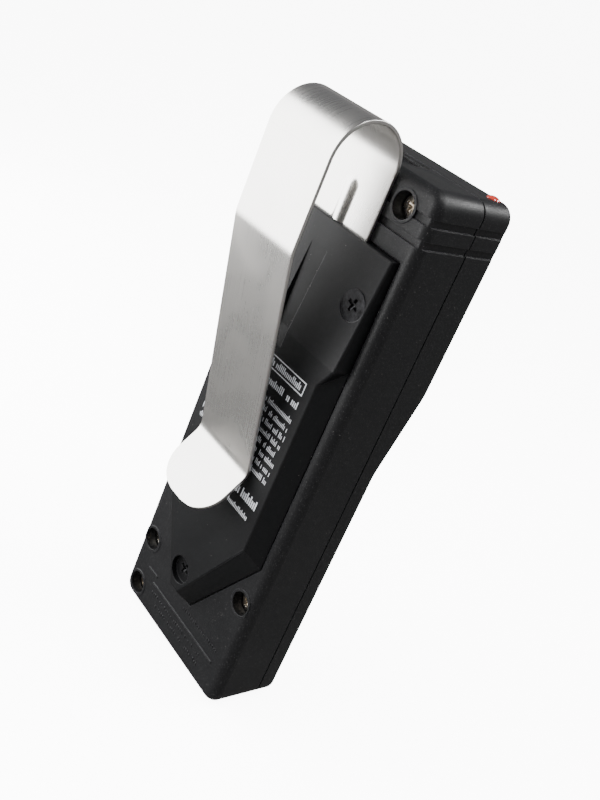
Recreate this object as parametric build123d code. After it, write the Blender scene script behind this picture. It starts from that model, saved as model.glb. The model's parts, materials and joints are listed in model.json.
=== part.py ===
from build123d import *
import math
import os

# Hand-held four-button gate remote with a spring visor clip on its back.
# Frame: +Z runs up the case from its flat bottom end, +Y points out of the back (clip side),
# -Y out of the button side, +X to the right of someone who faces the buttons.
# Sizes are in mm. Every piece is drawn with y = 0 on the parting plane between the case halves, and
# is then moved so that the origin is the middle of the bottom end face, on which the case stands.

# ---------------------------------------------------------------- case
case_length = 127.0
case_width = 43.2
rear_depth = 13.4          # parting plane to back face
head_depth = 9.1           # parting plane to front face over the battery
grip_depth = 5.2           # parting plane to front face round the buttons
corner_radius = 3.5
inner_corner = 1.0         # smallest corner inside the walls
wall = 1.8
end_wall = 2.4             # top end, thicker because it carries the scoop
back_fillet = 2.4
front_fillet = 1.6
slope_rise = 20.0          # length of the ramp from the grip up to the head
slope_over_battery = 5.7   # top of the ramp above the battery's lower end
slope_blend = 14.0         # radius at both ends of the ramp
parting_gap_width = 0.4
parting_gap_depth = 0.7
groove_width = 1.6
groove_depth = 0.5
groove_drops = (5.7, 10.0)  # below the top end
scoop_width = 11.6
scoop_depth = 1.3
rule_line = 0.45           # raised marks low on the back: width of the line
rule_height = 0.2
rule_foot = 0.3            # how deep the marks are rooted
rules = ((-2.6, 9.4, 27.6), (12.6, 11.6, 4.0))          # middle x, height, length
past = 1.0                 # how far a cutter runs past the face it cuts
near = 0.05                # tolerance when picking edges, and overlap of stacked cuts

# ---------------------------------------------------------------- battery (6LR61)
battery_width = 26.2
battery_thick = 16.5
battery_can_height = 45.5
battery_corner = 2.2
battery_top_gap = 0.3
battery_rear_gap = 0.2     # battery to the screw bosses behind it
battery_side_gap = 0.4     # battery to the head screw's tube
jacket_wall = 0.3
end_piece_height = 1.4
cell_jacket_gap = 0.13
cell_row_gap = 0.6
cell_pair_gap = 0.04
cell_end_gap = 0.2
stud_radius = 2.9
ring_radius = 4.2
ring_hole = 3.1
terminal_pitch = 12.7
terminal_height = 2.5
contact_height = 3.0
socket_floor = 0.4         # metal left under each ring's hole
foam_reach = (-10.0, 6.0)  # either side of the battery's middle
foam_squeeze = 0.02
foam_end_gap = 5.0

# ---------------------------------------------------------------- screws
case_screw_shank = 1.3
case_screw_head = 2.4
case_screw_head_height = 1.5
case_screw_length = 13.4
case_screw_sink = 2.2      # head top below the back face
case_screw_slack = 0.2     # shank to its hole in the rear shell
counterbore_radius = 2.7
tube_wall = 1.0
rim_depth = 1.2
rim_height = 0.15
rim_width = 0.6
rim_inset = 0.6            # rims stop short of the rounded edge, as a share of its radius
post_radius = 2.6
post_floor = 0.5           # post left under a case screw's point
screw_fit = 0.03
head_screw_inset = 7.8     # from the side
head_screw_drop = 5.5      # from the top end
low_screws = ((-1, 4.3, 28.0), (1, 4.5, 18.4), (1, 5.0, 5.0))   # side, inset from it, height

plate_screw_shank = 1.3
plate_screw_head = 3.1
plate_screw_head_height = 1.8
plate_screw_length = 5.2
plate_screw_slack = 0.2
plate_head_gap = 0.05
plate_boss_radius = 2.6
plate_boss_height = 0.9
boss_floor = 0.2
recess_depth = 1.0         # cross recess in every screw head
recess_span = 2.6
recess_arm = 0.62
recess_turn = 20.0
pan_round = 0.45           # rounding of a pan head, as a share of its height

# ---------------------------------------------------------------- clip plate
plate_top_drop = 15.0      # below the top end
plate_bottom = 15.0
plate_tip_width = 6.2
plate_shoulder = 38.6      # height where the sides start to converge
plate_pocket = 0.6
plate_clearance = 0.3
plate_lip = 1.8            # height over the back face at the top edge
plate_rise = 4.2           # height over the back face at the flat
ramp_length = 24.0
ear_step = 5.0
skirt = 2.9
skirt_shoulder = 3.6       # crest's shoulder above the foot's
skirt_tip = 0.75           # crest's tip, as a share of one skirt's run down the taper
plate_hollow_wall = 1.6
plate_hollow_end = 2.0
plate_edge = 0.5           # rounding of the plate's crest
channel_width = 5.0
channel_depth = 1.1
channel_length = 22.0
channel_drop = 5.6
channel_steep = 5.5        # steep upper end of the channel
channel_lift = 0.5
channel_run_out = 4.0
ear_screw_inset = 3.7      # from the plate's side
ear_screw_gap = 1.975      # screw head to the strip's room
ear_screw_drop = 11.0      # from the plate's top
tip_screw_rise = 8.7       # from the plate's bottom
peg_radius = 2.2
peg_fit = 0.2
peg_proud = 0.2            # peg end above the bead
bead_slack = 0.1
print_height = 0.06        # thickness of the printed ink on the flat
print_margin = 1.4         # crest to the printed area
print_top_drop = 5.6       # below the start of the flat
print_frame = 3.2          # height of the empty frame at the top
print_frame_line = 0.3
print_line = 1.1
print_rows = 12

# ---------------------------------------------------------------- visor clip
strip_width = 19.05
strip_thick = 0.8
strip_fit = 0.2
loop_radius = 8.4          # centre line of the bend
loop_centre_drop = 1.5     # bend centre below the top end
leg_tail = 17.0            # how far the fixed leg runs under the plate
outer_leg = 18.0           # straight run below the bend
grip_gap = 0.45            # strip to plate flat at rest
grip_drop = 68.3           # bend centre down to the grip line
strip_slack = 0.05         # strip to the plate over it
grip_bend = 4.0
knee_bend = 9.0
tongue_length = 13.9
tongue_angle = 36.5
tongue_corner = 7.5
bead_width = 3.5
bead_height = 0.5
bead_top_drop = 6.0
bead_foot_rise = 1.0
bead_round = 0.47
split_gap = 0.04

# ---------------------------------------------------------------- buttons and switches
button_count = 4
button_width = 26.0
button_land = 3.6          # between neighbouring buttons
button_foot_margin = 9.3   # bottom end to the first button
button_head_margin = 6.8   # last button to the foot of the ramp
button_corner = 2.4
button_proud = 0.4
button_fit = 0.3
button_dish = 0.35
button_rim = 0.3
dish_end = 1.0             # undished strip at each side of a button
flange_margin = 1.1
flange_thick = 0.8
flange_gap = 0.05
stem_radius = 1.7
stem_gap = 0.05
pip_radius = 0.45
pip_height = 0.15
pip_root = 0.4
pip_pitch = 1.8

board_front = 2.4          # board's front face behind the parting plane
board_thick = 1.6
board_margin = 1.2         # board edge to case inner wall
board_bottom = 3.4
board_arm_width = 7.8
board_arm_drop = 10.5      # below the top end
board_arm_root = 10.0      # how far the arm runs down over the board
board_arm_outset = 0.6     # arm's outer side beyond the board's
board_top_gap = 2.8        # board's top to the terminal board
board_fit = 0.35
switch_size = 6.0
switch_depth = 3.5
switch_corner = 0.4
plunger_radius = 1.75
plunger_fit = 0.05
plunger_proud = 0.8
plunger_sunk = 1.0
plunger_chamfer = 0.2
plunger_bore = 1.8
dome_radius = 2.2
dome_thick = 0.15
dome_gap = 0.2
dome_room = 0.55

# ---------------------------------------------------------------- board furniture
board_post_radius = 1.9
board_post_drop = 6.8      # below the board's top
board_post_inset = 5.1     # from the board's side
foot_post_inset = 4.6
foot_post_height = 5.6
board_screw_shank = 0.8
board_screw_slack = 0.15
board_screw_head = 1.6
board_screw_head_height = 1.1
board_screw_length = 5.0
board_post_floor = 0.3
rib_thick = 1.0
rib_gap = 0.6              # rib to battery
rib_drop = 0.6
rib_foot_rise = 1.0
rib_head_drop = 6.0
shelf_width = 2.0
shelf_thick = 1.5
shelf_gap = 0.1
terminal_board_drop = 4.4  # battery can to the terminal board
terminal_board_thick = 1.6
terminal_board_inset = 0.4
terminal_board_reach = (-4.9, 5.3)
strap_spread = 9.0
strap_width = 2.0
strap_thick = 0.5
strap_tail = 3.5

chip_x = -3.0
chip_drop = 25.0           # chip's middle below the board's top
chip_length = 23.0
chip_width = 6.4
chip_height = 3.3
chip_stand = 0.5
chip_corner = 0.4
pin_pitch = 2.54
pin_count = 9              # on each side
pin_thick = 0.5
pin_width = 0.6
pin_height = 1.8
pin_outset = 0.4
resonator_x = 10.5
resonator_drop = 16.5
resonator_radius = 4.2
resonator_height = 3.6
resonator_flange = 0.5
resonator_flange_height = 0.4
transistor_drop = 28.0
transistor_radius = 2.3
transistor_flat = 1.5      # flat side from the middle
transistor_height = 4.6
can_inset = 5.6            # from the board's side
can_drop = 15.0
can_radius = 2.5
can_height = 6.5
resistor_size = (1.2, 2.0, 0.5)
resistor_places = ((-12.5, 36.0), (-12.5, 33.0), (-12.5, 30.0), (4.5, 8.0), (7.0, 8.0))   # x, drop
capacitor_size = (2.0, 1.2, 0.9)
capacitor_places = ((6.0, 37.0), (6.0, 33.5), (12.3, 35.5), (3.5, 21.0))
antenna_inset = 1.6
antenna_foot_gap = 8.4     # over the screw tube below it
antenna_drop = 11.5
antenna_reach = 4.0
antenna_thick = 0.8
antenna_width = 1.8
lens_radius = 1.5
lens_length = 6.6
lens_proud = 0.6
lens_fit = 0.05
lens_inset = 4.6           # from the side
lens_forward = 6.0         # in front of the parting plane
lens_dome = 0.5
led_offset = 1.0           # lamp axis outboard of the lens axis
led_rear = 1.2             # and behind it
led_radius = 1.4
led_length = 4.2
led_dome = 0.9
led_gap = 0.4
lead_spread = 0.6
lead_thick = 0.4
lead_drop = 5.0

# ---------------------------------------------------------------- places worked out from the sizes
half_width = case_width / 2
inner_half = half_width - wall
rear_inner = rear_depth - wall
front_inner = -grip_depth + wall
battery_top = case_length - end_wall - battery_top_gap
battery_bottom = battery_top - battery_can_height
battery_rear = rear_inner - plate_boss_height - battery_rear_gap
battery_front = battery_rear - battery_thick
cell_room = jacket_wall + cell_jacket_gap
cell_radius = min((battery_thick - 2 * cell_room - cell_pair_gap) / 4,
                  (battery_width - 2 * cell_room - 2 * cell_row_gap) / 6)
battery_mid_y = (battery_front + battery_rear) / 2
slope_high = battery_bottom + slope_over_battery
slope_low = slope_high - slope_rise

tube_radius = counterbore_radius + tube_wall
head_screw = (-half_width + head_screw_inset, case_length - head_screw_drop)
low_screw_places = [(s * (half_width - inset), z) for s, inset, z in low_screws]
case_screw_places = [head_screw] + low_screw_places
screw_seat = rear_depth - case_screw_sink - case_screw_head_height
battery_x = head_screw[0] + tube_radius + battery_side_gap + battery_width / 2
terminals = (battery_x - terminal_pitch / 2, battery_x + terminal_pitch / 2)
terminal_z = battery_bottom - terminal_board_drop

plate_top = case_length - plate_top_drop
flat_y = rear_depth + plate_rise
lip_y = rear_depth + plate_lip
flat_top = plate_top - ramp_length
ear_foot = flat_top - ear_step
tip_half = plate_tip_width / 2
strip_room_half = strip_width / 2 + strip_fit
ear_screw_x = strip_room_half + ear_screw_gap + plate_screw_head
ear_screw_z = plate_top - ear_screw_drop
plate_half = ear_screw_x + ear_screw_inset
crest_half = plate_half - skirt
crest_shoulder = plate_shoulder + skirt_shoulder
screw_top_y = lip_y + (flat_y - lip_y) * ear_screw_drop / ramp_length
plate_screw_places = [(-ear_screw_x, ear_screw_z), (ear_screw_x, ear_screw_z),
                      (0, plate_bottom + tip_screw_rise)]
pocket_y = rear_depth - plate_pocket

strip_mid_y = rear_depth + strip_thick / 2
strip_face = rear_depth + strip_thick
loop_y = strip_mid_y + loop_radius
loop_z = case_length - loop_centre_drop
leg_foot = plate_top - leg_tail
grip_y = flat_y + grip_gap + strip_thick / 2
grip_z = loop_z - grip_drop
peg_z = (plate_top - channel_drop + leg_foot) / 2

board_rear = board_front + board_thick
board_top = terminal_z - terminal_board_thick - board_top_gap
board_half = inner_half - board_margin
board_post_x = board_half - board_post_inset
board_post_z = board_top - board_post_drop
board_screw_places = [(board_post_x, board_post_z), (-board_post_x, board_post_z),
                      (-board_half + foot_post_inset, foot_post_height)]
button_room = slope_low - button_head_margin - button_foot_margin
button_pitch = (button_room + button_land) / button_count
button_height = button_pitch - button_land
button_heights = [button_foot_margin + button_height / 2 + i * button_pitch for i in range(button_count)]
flange_front = front_inner + flange_gap
switch_front = board_front - switch_depth
plunger_tip = switch_front - plunger_proud
dome_low = switch_front + plunger_bore + dome_thick

lens_x = -half_width + lens_inset
lens_y = -lens_forward
lens_foot = case_length + lens_proud - lens_length
led_x = lens_x - led_offset
led_y = lens_y + led_rear
led_top = lens_foot - led_gap


# ---------------------------------------------------------------- shaping helpers
def at_y(y):
    """Drawing plane at depth y whose normal points towards -Y."""
    return Plane(origin=(0, y, 0), x_dir=(1, 0, 0), z_dir=(0, -1, 0))


def slab(profile, y_low, y_high):
    """A profile drawn in (x, z), run from y_low to y_high."""
    return extrude(at_y(y_high) * profile, amount=y_high - y_low)


def across(profile, half):
    """A profile drawn in (y, z), run from x = -half to x = half."""
    plane = Plane(origin=(-half, 0, 0), x_dir=(0, 1, 0), z_dir=(1, 0, 0))
    return extrude(plane * profile, amount=2 * half)


def up(profile, z_low, z_high):
    """A profile drawn in (x, y), run from z_low to z_high."""
    return extrude(Plane.XY.offset(z_low) * profile, amount=z_high - z_low)


def rod_y(x, z, radius, y_low, y_high):
    """A round bar along Y."""
    return slab(Pos(x, z) * Circle(radius), y_low, y_high)


def rod_z(x, y, radius, z_low, z_high):
    """A round bar along Z."""
    return up(Pos(x, y) * Circle(radius), z_low, z_high)


def block(x_low, x_high, y_low, y_high, z_low, z_high):
    """A box between two corners."""
    size = Box(x_high - x_low, y_high - y_low, z_high - z_low)
    return Pos((x_low + x_high) / 2, (y_low + y_high) / 2, (z_low + z_high) / 2) * size


def polygon(*corners):
    """A straight-sided face through the given corners."""
    return make_face(Polyline(*corners, close=True))


def mirrored(*corners):
    """Corners down the left side of a symmetric outline, and back up the right side."""
    return polygon(*corners, *[(-x, z) for x, z in reversed(corners)])


def outline(inset, top_inset=None):
    """The case's rounded outline in (x, z), drawn in by inset, and by top_inset at the top end."""
    top = inset if top_inset is None else top_inset
    width = case_width - 2 * inset
    height = case_length - inset - top
    radius = max(corner_radius - inset, inner_corner)
    return Pos(0, inset + height / 2) * RectangleRounded(width, height, radius)


def front_side(thinner):
    """Side view of the front shell in (y, z): thin grip, ramp, deep head."""
    grip = -grip_depth + thinner
    head = -head_depth + thinner
    low = -past
    high = case_length + past
    shape = polygon((past, low), (grip, low), (grip, slope_low), (head, slope_high), (head, high),
                    (past, high))
    bends = [v for v in shape.vertices() if low < v.Y < high]
    return fillet(bends, slope_blend)


def cross_recess(x, z, y_top):
    """Cross recess cut into a screw head whose top is at y_top, opening towards +Y."""
    arms = Rectangle(recess_span, recess_arm) + Rectangle(recess_arm, recess_span)
    return slab(Pos(x, z) * Rot(0, 0, recess_turn) * arms, y_top - recess_depth, y_top + past)


def groove_rings():
    """The two decorative grooves that run round the head of the case."""
    core = slab(outline(groove_depth), -head_depth + groove_depth, rear_depth - groove_depth)
    rings = []
    for drop in groove_drops:
        middle = case_length - drop
        band = block(-half_width - past, half_width + past, -head_depth - past, rear_depth + past,
                     middle - groove_width / 2, middle + groove_width / 2)
        rings.append(band - core)
    return rings


def parting_groove():
    """The shadow line round the parting plane."""
    ring = outline(-past) - outline(parting_gap_depth)
    return slab(ring, -parting_gap_width / 2, parting_gap_width / 2)


def top_scoop():
    """Shallow round scoop across the top end."""
    radius = (scoop_width ** 2 / 4 + scoop_depth ** 2) / (2 * scoop_depth)
    return rod_y(0, case_length - scoop_depth + radius, radius, -past, rear_depth + past)


def plate_foot(grow):
    """Foot of the clip plate in (x, z), grown by grow all round."""
    half = plate_half + grow
    return mirrored((-half, plate_top + grow), (-half, plate_shoulder),
                    (-tip_half - grow, plate_bottom - grow))


# ---------------------------------------------------------------- case
def rear_shell():
    """Back half of the case, with the screw tubes and the pocket for the clip plate."""
    whole = slab(outline(0), 0, rear_depth)
    back = whole.faces().sort_by(Axis.Y)[-1]
    whole = fillet(back.edges(), back_fillet)
    solid = whole - slab(outline(wall, end_wall), -past, rear_inner)
    for x, z in case_screw_places:
        solid += rod_y(x, z, tube_radius, 0, rear_inner) & whole
    for x, z in plate_screw_places:
        solid += rod_y(x, z, plate_boss_radius, rear_inner - plate_boss_height, rear_inner)
    for ring in groove_rings():
        solid -= ring
    rim_low = rear_depth - rim_depth
    rim_high = rear_depth + rim_height
    for x, z in case_screw_places:
        collar = rod_y(x, z, counterbore_radius + rim_width, rim_low, rim_high)
        solid += collar & slab(outline(back_fillet * rim_inset), rim_low, rim_high)
    solid -= block(-strip_room_half, strip_room_half, rear_depth, rear_depth + past, leg_foot, case_length)
    strip_zone = block(-strip_room_half, strip_room_half, 0, rear_depth + past,
                       leg_foot - strip_fit, case_length)
    solid -= slab(plate_foot(plate_clearance), pocket_y, rear_depth + past) - strip_zone
    for x, z in case_screw_places:
        solid -= rod_y(x, z, counterbore_radius, screw_seat, rear_depth + past)
        solid -= rod_y(x, z, case_screw_shank + case_screw_slack, -past, screw_seat + past)
    for x, z in plate_screw_places:
        hole_low = rear_inner - plate_boss_height + boss_floor
        solid -= rod_y(x, z, plate_screw_shank + screw_fit, hole_low, rear_depth + past)
    solid -= rod_y(0, peg_z, peg_radius + peg_fit, pocket_y, rear_depth + past)
    solid -= top_scoop()
    solid -= parting_groove()
    for x, z, length in rules:
        line = Pos(x, z) * Rectangle(length, rule_line)
        solid += slab(line, rear_depth - rule_foot, rear_depth + rule_height)
    return solid


def front_blank():
    """Outside of the front shell: the outline under the side view, with its rim rounded."""
    solid = slab(outline(0), -head_depth, 0) & across(front_side(0), half_width + past)
    rim = []
    for edge in solid.edges():
        box = edge.bounding_box()
        middle = edge.center()
        at_side = abs(middle.X) > half_width - corner_radius - near
        at_end = middle.Z < near or middle.Z > case_length - near
        along_y = box.size.Y > edge.length * 0.9
        if box.max.Y < -grip_depth / 2 and (at_side or at_end) and not along_y:
            rim.append(edge)
    return fillet(rim, front_fillet)


def front_shell():
    """Front half of the case: thin grip with the button openings, ramp, and deep head."""
    whole = front_blank()
    behind = block(-half_width, half_width, 0, board_front, 0, case_length)
    room = whole + behind
    cavity = slab(outline(wall, end_wall), -head_depth, past) & across(front_side(wall), half_width)
    solid = whole - cavity
    for x, z in case_screw_places:
        solid += rod_y(x, z, post_radius, -head_depth, 0) & whole
    for x, z in board_screw_places:
        solid += rod_y(x, z, board_post_radius, -head_depth, board_front) & room
    rib_x = battery_x - battery_width / 2 - rib_gap
    rib = block(rib_x - rib_thick, rib_x, -head_depth, board_front - rib_drop,
                battery_bottom + rib_foot_rise, head_screw[1] - rib_head_drop)
    solid += rib & room
    for side in (-1, 1):
        shelf_x = battery_x + side * (battery_width - shelf_width) / 2
        shelf = block(shelf_x - shelf_width / 2, shelf_x + shelf_width / 2, -head_depth, board_front,
                      battery_bottom - shelf_gap - shelf_thick, battery_bottom - shelf_gap)
        solid += shelf & room
    point = rear_depth - case_screw_sink - case_screw_length
    for x, z in case_screw_places:
        solid -= rod_y(x, z, case_screw_shank + screw_fit, point - post_floor, past)
    board_point = board_rear + board_screw_head_height - board_screw_length
    for x, z in board_screw_places:
        solid -= rod_y(x, z, board_screw_shank + screw_fit, board_point - board_post_floor,
                       board_front + past)
    for z in button_heights:
        hole = Pos(0, z) * button_outline(button_fit)
        solid -= slab(hole, -head_depth - past, front_inner + near)
    # the battery's own room, which only bites once a thicker wall crowds it
    solid -= up(battery_section(0), battery_bottom, battery_top)
    solid -= rod_z(lens_x, lens_y, lens_radius + lens_fit, lens_foot, case_length + past)
    for ring in groove_rings():
        solid -= ring
    solid -= parting_groove()
    return solid


# ---------------------------------------------------------------- clip plate and clip
def clip_plate():
    """Cover that clamps the clip's fixed leg to the back: ramped ears, flat, sloping skirts."""
    taper = (plate_shoulder - plate_bottom) / (plate_half - tip_half)
    crest_tip = plate_bottom + skirt * taper * skirt_tip
    crest = mirrored((-crest_half, flat_top), (-crest_half, crest_shoulder), (-tip_half / 2, crest_tip))
    foot = mirrored((-plate_half, flat_top), (-plate_half, plate_shoulder), (-tip_half, plate_bottom))
    skirted = loft([at_y(rear_depth) * foot, at_y(flat_y) * crest])
    ears = mirrored((-plate_half, plate_top), (-plate_half, flat_top), (-crest_half, ear_foot))
    solid = slab(plate_foot(0), pocket_y, rear_depth) + skirted + slab(ears, rear_depth, flat_y)
    above = flat_y + past
    over = plate_top + past
    solid -= across(polygon((lip_y, plate_top), (flat_y, flat_top), (above, flat_top), (above, over),
                            (lip_y, over)), plate_half + past)
    high_edges = [e for e in solid.edges() if e.bounding_box().min.Y > lip_y - near]
    crests = [e for e in high_edges if e.length > plate_edge * 2]
    solid = fillet(crests, plate_edge)
    hollow_low = plate_shoulder + plate_hollow_end
    hollow_high = leg_foot - plate_hollow_end
    hollow_half = crest_half - plate_hollow_wall
    below = pocket_y - past
    solid -= block(-hollow_half, hollow_half, below, flat_y - plate_hollow_wall, hollow_low, hollow_high)
    room_low = leg_foot - strip_fit
    solid -= block(-strip_room_half, strip_room_half, below, strip_face + strip_slack, room_low, over)
    bead_half = bead_width / 2 + strip_fit
    solid -= block(-bead_half, bead_half, pocket_y, strip_face + bead_height + bead_slack, room_low, over)
    solid += rod_y(0, peg_z, peg_radius, pocket_y, strip_face + bead_height + peg_proud)
    solid -= thumb_channel()
    for x, z in plate_screw_places:
        solid -= rod_y(x, z, plate_screw_shank + plate_screw_slack, below, screw_top_y)
        solid -= screw_cone(x, z, plate_head_gap)
        solid -= rod_y(x, z, plate_screw_head + plate_screw_slack, screw_top_y - near, above)
    return solid


def thumb_channel():
    """Scooped channel down the middle of the plate, ramped at both ends."""
    high = plate_top - channel_drop
    low = high - channel_length
    floor = flat_y - channel_depth
    above = flat_y + past
    ramp_y = lip_y + (flat_y - lip_y) * channel_drop / ramp_length
    side = polygon((above, high + channel_lift), (ramp_y, high),
                   (floor - channel_lift, high - channel_steep), (floor, low + channel_run_out), (flat_y, low), (above, low - past))
    return across(side, channel_width / 2)


def label_print():
    """Printed panel on the plate's flat: an empty frame and plain rows, with no lettering."""
    high = flat_top - print_top_drop
    width = 2 * (crest_half - print_margin)
    hole = Rectangle(width - 2 * print_frame_line, print_frame - 2 * print_frame_line)
    frame = Pos(0, high - print_frame / 2) * (Rectangle(width, print_frame) - hole)
    group = [slab(frame, flat_y, flat_y + print_height)]
    row_pitch = (high - print_frame - crest_shoulder) / print_rows
    for i in range(print_rows):
        row = Pos(0, crest_shoulder + (i + 0.5) * row_pitch) * Rectangle(width, print_line)
        group.append(slab(row, flat_y, flat_y + print_height))
    return Compound(group)


def screw_cone(x, z, grow):
    """Countersunk head of a plate screw, head top at screw_top_y."""
    plane = at_y(screw_top_y) * Pos(x, z)
    wide = plane * Circle(plate_screw_head + grow)
    narrow = plane * Pos(0, 0, plate_screw_head_height) * Circle(plate_screw_shank + grow)
    return loft([wide, narrow])


def strip(line):
    """The clip's steel strip: a centre line in (y, z) given its thickness and width."""
    return across(trace(line, line_width=strip_thick), strip_width / 2)


def clip_base():
    """Fixed leg of the clip on the back face, with its pressed bead and half of the bend."""
    leg = Line((strip_mid_y, leg_foot), (strip_mid_y, loop_z))
    bend = CenterArc((loop_y, loop_z), loop_radius, 90, 90)
    solid = strip(leg + bend)
    top = loop_z + 2 * loop_radius
    solid -= block(-strip_width, strip_width, loop_y, loop_y + past, loop_z, top)
    bead_low = leg_foot + bead_foot_rise
    bead_high = case_length - bead_top_drop
    bar = block(-bead_width / 2, bead_width / 2, strip_face - bead_round, strip_face + bead_height,
                bead_low, bead_high)
    bar = fillet(bar.faces().sort_by(Axis.Y)[-1].edges().filter_by(Axis.Z), bead_round)
    slot = SlotCenterToCenter(bead_high - bead_low - bead_width, bead_width, rotation=90)
    middle = Pos(0, (bead_low + bead_high) / 2)
    solid += bar & slab(middle * slot, strip_face - bead_round, strip_face + bead_height)
    solid -= rod_y(0, peg_z, peg_radius + peg_fit, rear_depth - past, strip_face + past)
    return solid


def clip_arm():
    """Sprung side of the clip: half of the bend, outer leg, slanting leg and flared tongue."""
    outer_y = loop_y + loop_radius
    slope = math.radians(tongue_angle)
    knee = (outer_y, loop_z - outer_leg)
    grip = (grip_y, grip_z)
    tip = (grip_y + tongue_length * math.sin(slope), grip_z - tongue_length * math.cos(slope))
    bend = CenterArc((loop_y, loop_z), loop_radius, 0, 90)
    leg = FilletPolyline((outer_y, loop_z), knee, grip, tip, radius=[knee_bend, grip_bend])
    solid = strip(bend + leg)
    top = loop_z + 2 * loop_radius
    solid -= block(-strip_width, strip_width, loop_y - past, loop_y + split_gap, loop_z, top)
    facing = (0, math.cos(slope), math.sin(slope))
    plane = Plane(origin=(0, tip[0], tip[1]), x_dir=(1, 0, 0), z_dir=facing)
    end = Pos(0, -tongue_corner / 2) * Rectangle(strip_width + 2 * past, tongue_corner + 2 * past)
    keep = Pos(0, -strip_width) * RectangleRounded(strip_width, 2 * strip_width, tongue_corner)
    solid -= extrude(plane * (end - keep), amount=2 * strip_thick, both=True)
    return solid


# ---------------------------------------------------------------- buttons and switches
def button_outline(grow):
    """Outline of a button in (x, z) about its own middle, grown by grow all round."""
    corner = min(button_corner, button_height * 0.45) + grow
    return RectangleRounded(button_width + 2 * grow, button_height + 2 * grow, corner)


def button(z, pips):
    """One button cap: dished top, retaining flange, stem, and pips that count its place."""
    top = -grip_depth - button_proud
    floor = top + button_dish
    body = slab(Pos(0, z) * button_outline(0), top, flange_front + flange_thick)
    body = fillet(body.faces().sort_by(Axis.Y)[0].edges(), button_rim)
    dish = button_width ** 2 / (8 * button_dish)
    body -= rod_z(0, floor - dish, dish, z - button_height / 2 + dish_end, z + button_height / 2 - dish_end)
    body += slab(Pos(0, z) * button_outline(flange_margin), flange_front, flange_front + flange_thick)
    body += rod_y(0, z, stem_radius, flange_front, plunger_tip - stem_gap)
    for i in range(pips):
        x = (i - (pips - 1) / 2) * pip_pitch
        body += rod_y(x, z, pip_radius, floor - pip_height, floor + pip_root)
    return body


def switch_housings():
    """Housings of the tact switches, each with a bore for its plunger and room for its snap dome."""
    half = switch_size / 2
    group = []
    for z in button_heights:
        body = block(-half, half, switch_front, board_front, z - half, z + half)
        body = chamfer(body.edges().filter_by(Axis.Y), switch_corner)
        body -= rod_y(0, z, plunger_radius + plunger_fit, switch_front - past, switch_front + plunger_bore)
        body -= rod_y(0, z, dome_radius + dome_gap, switch_front + plunger_bore, dome_low + dome_room)
        group.append(body)
    return Compound(group)


def switch_domes():
    """Snap discs under the plungers."""
    return Compound([rod_y(0, z, dome_radius, dome_low, dome_low + dome_thick) for z in button_heights])


def plunger(z):
    """Plunger of one tact switch."""
    body = rod_y(0, z, plunger_radius, plunger_tip, switch_front + plunger_sunk)
    return chamfer(body.edges().sort_by(Axis.Y)[0], plunger_chamfer)


# ---------------------------------------------------------------- board
def circuit_board():
    """Main board behind the buttons, with an arm up beside the battery to the indicator."""
    arm_low = -board_half - board_arm_outset
    low = block(-board_half, board_half, board_front, board_rear, board_bottom, board_top)
    arm = block(arm_low, arm_low + board_arm_width, board_front, board_rear,
                board_top - board_arm_root, case_length - board_arm_drop)
    board = low + arm
    for x, z in case_screw_places:
        board -= rod_y(x, z, tube_radius + board_fit, board_front - past, board_rear + past)
    for x, z in board_screw_places:
        board -= rod_y(x, z, board_screw_shank + board_screw_slack, board_front - past, board_rear + past)
    return board


def on_board(x, z, size):
    """A flat chip part on the rear of the board, size given as x, z and height."""
    length, width, height = size
    return block(x - length / 2, x + length / 2, board_rear, board_rear + height,
                 z - width / 2, z + width / 2)


def microcontroller():
    """Encoder chip in its moulded package."""
    z = board_top - chip_drop
    body = block(chip_x - chip_width / 2, chip_x + chip_width / 2, board_rear + chip_stand,
                 board_rear + chip_stand + chip_height, z - chip_length / 2, z + chip_length / 2)
    return chamfer(body.edges().filter_by(Axis.Z), chip_corner)


def microcontroller_pins():
    """Legs of the encoder chip."""
    group = []
    for side in (-1, 1):
        for i in range(pin_count):
            x = chip_x + side * (chip_width / 2 + pin_outset)
            z = board_top - chip_drop + (i - (pin_count - 1) / 2) * pin_pitch
            group.append(on_board(x, z, (pin_thick, pin_width, pin_height)))
    return Compound(group)


def saw_resonator():
    """Round metal can of the radio resonator, with its flange."""
    z = board_top - resonator_drop
    foot = board_rear + resonator_flange_height
    can = rod_y(resonator_x, z, resonator_radius, foot, board_rear + resonator_height)
    can = fillet(can.edges().sort_by(Axis.Y)[-1], resonator_flange)
    return can + rod_y(resonator_x, z, resonator_radius + resonator_flange, board_rear, foot)


def rf_transistor():
    """Radio transistor: a round plastic body with one flat side."""
    z = board_top - transistor_drop
    body = rod_y(resonator_x, z, transistor_radius, board_rear, board_rear + transistor_height)
    flat = resonator_x - transistor_flat
    return body - block(flat - transistor_radius, flat, board_rear - past,
                        board_rear + transistor_height + past, z - transistor_radius, z + transistor_radius)


def capacitor_can():
    """Electrolytic capacitor."""
    can = rod_y(-board_half + can_inset, board_top - can_drop, can_radius, board_rear,
                board_rear + can_height)
    return fillet(can.edges().sort_by(Axis.Y)[-1], chip_corner)


def chip_parts(places, size):
    """Small parts soldered to the rear of the board, at (x, drop below its top)."""
    return Compound([on_board(x, board_top - drop, size) for x, drop in places])


def loop_antenna():
    """Flat copper hoop that stands off the board's edge, above the screw tube."""
    low = low_screw_places[1][1] + tube_radius + antenna_foot_gap
    high = board_top - antenna_drop
    x = board_half - antenna_inset
    half = antenna_width / 2
    hoop_y = board_rear + antenna_reach
    hoop = block(x - half, x + half, board_rear, hoop_y, low, high)
    return hoop - block(x - half - past, x + half + past, board_rear - past,
                        hoop_y - antenna_thick, low + antenna_thick, high - antenna_thick)


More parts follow.
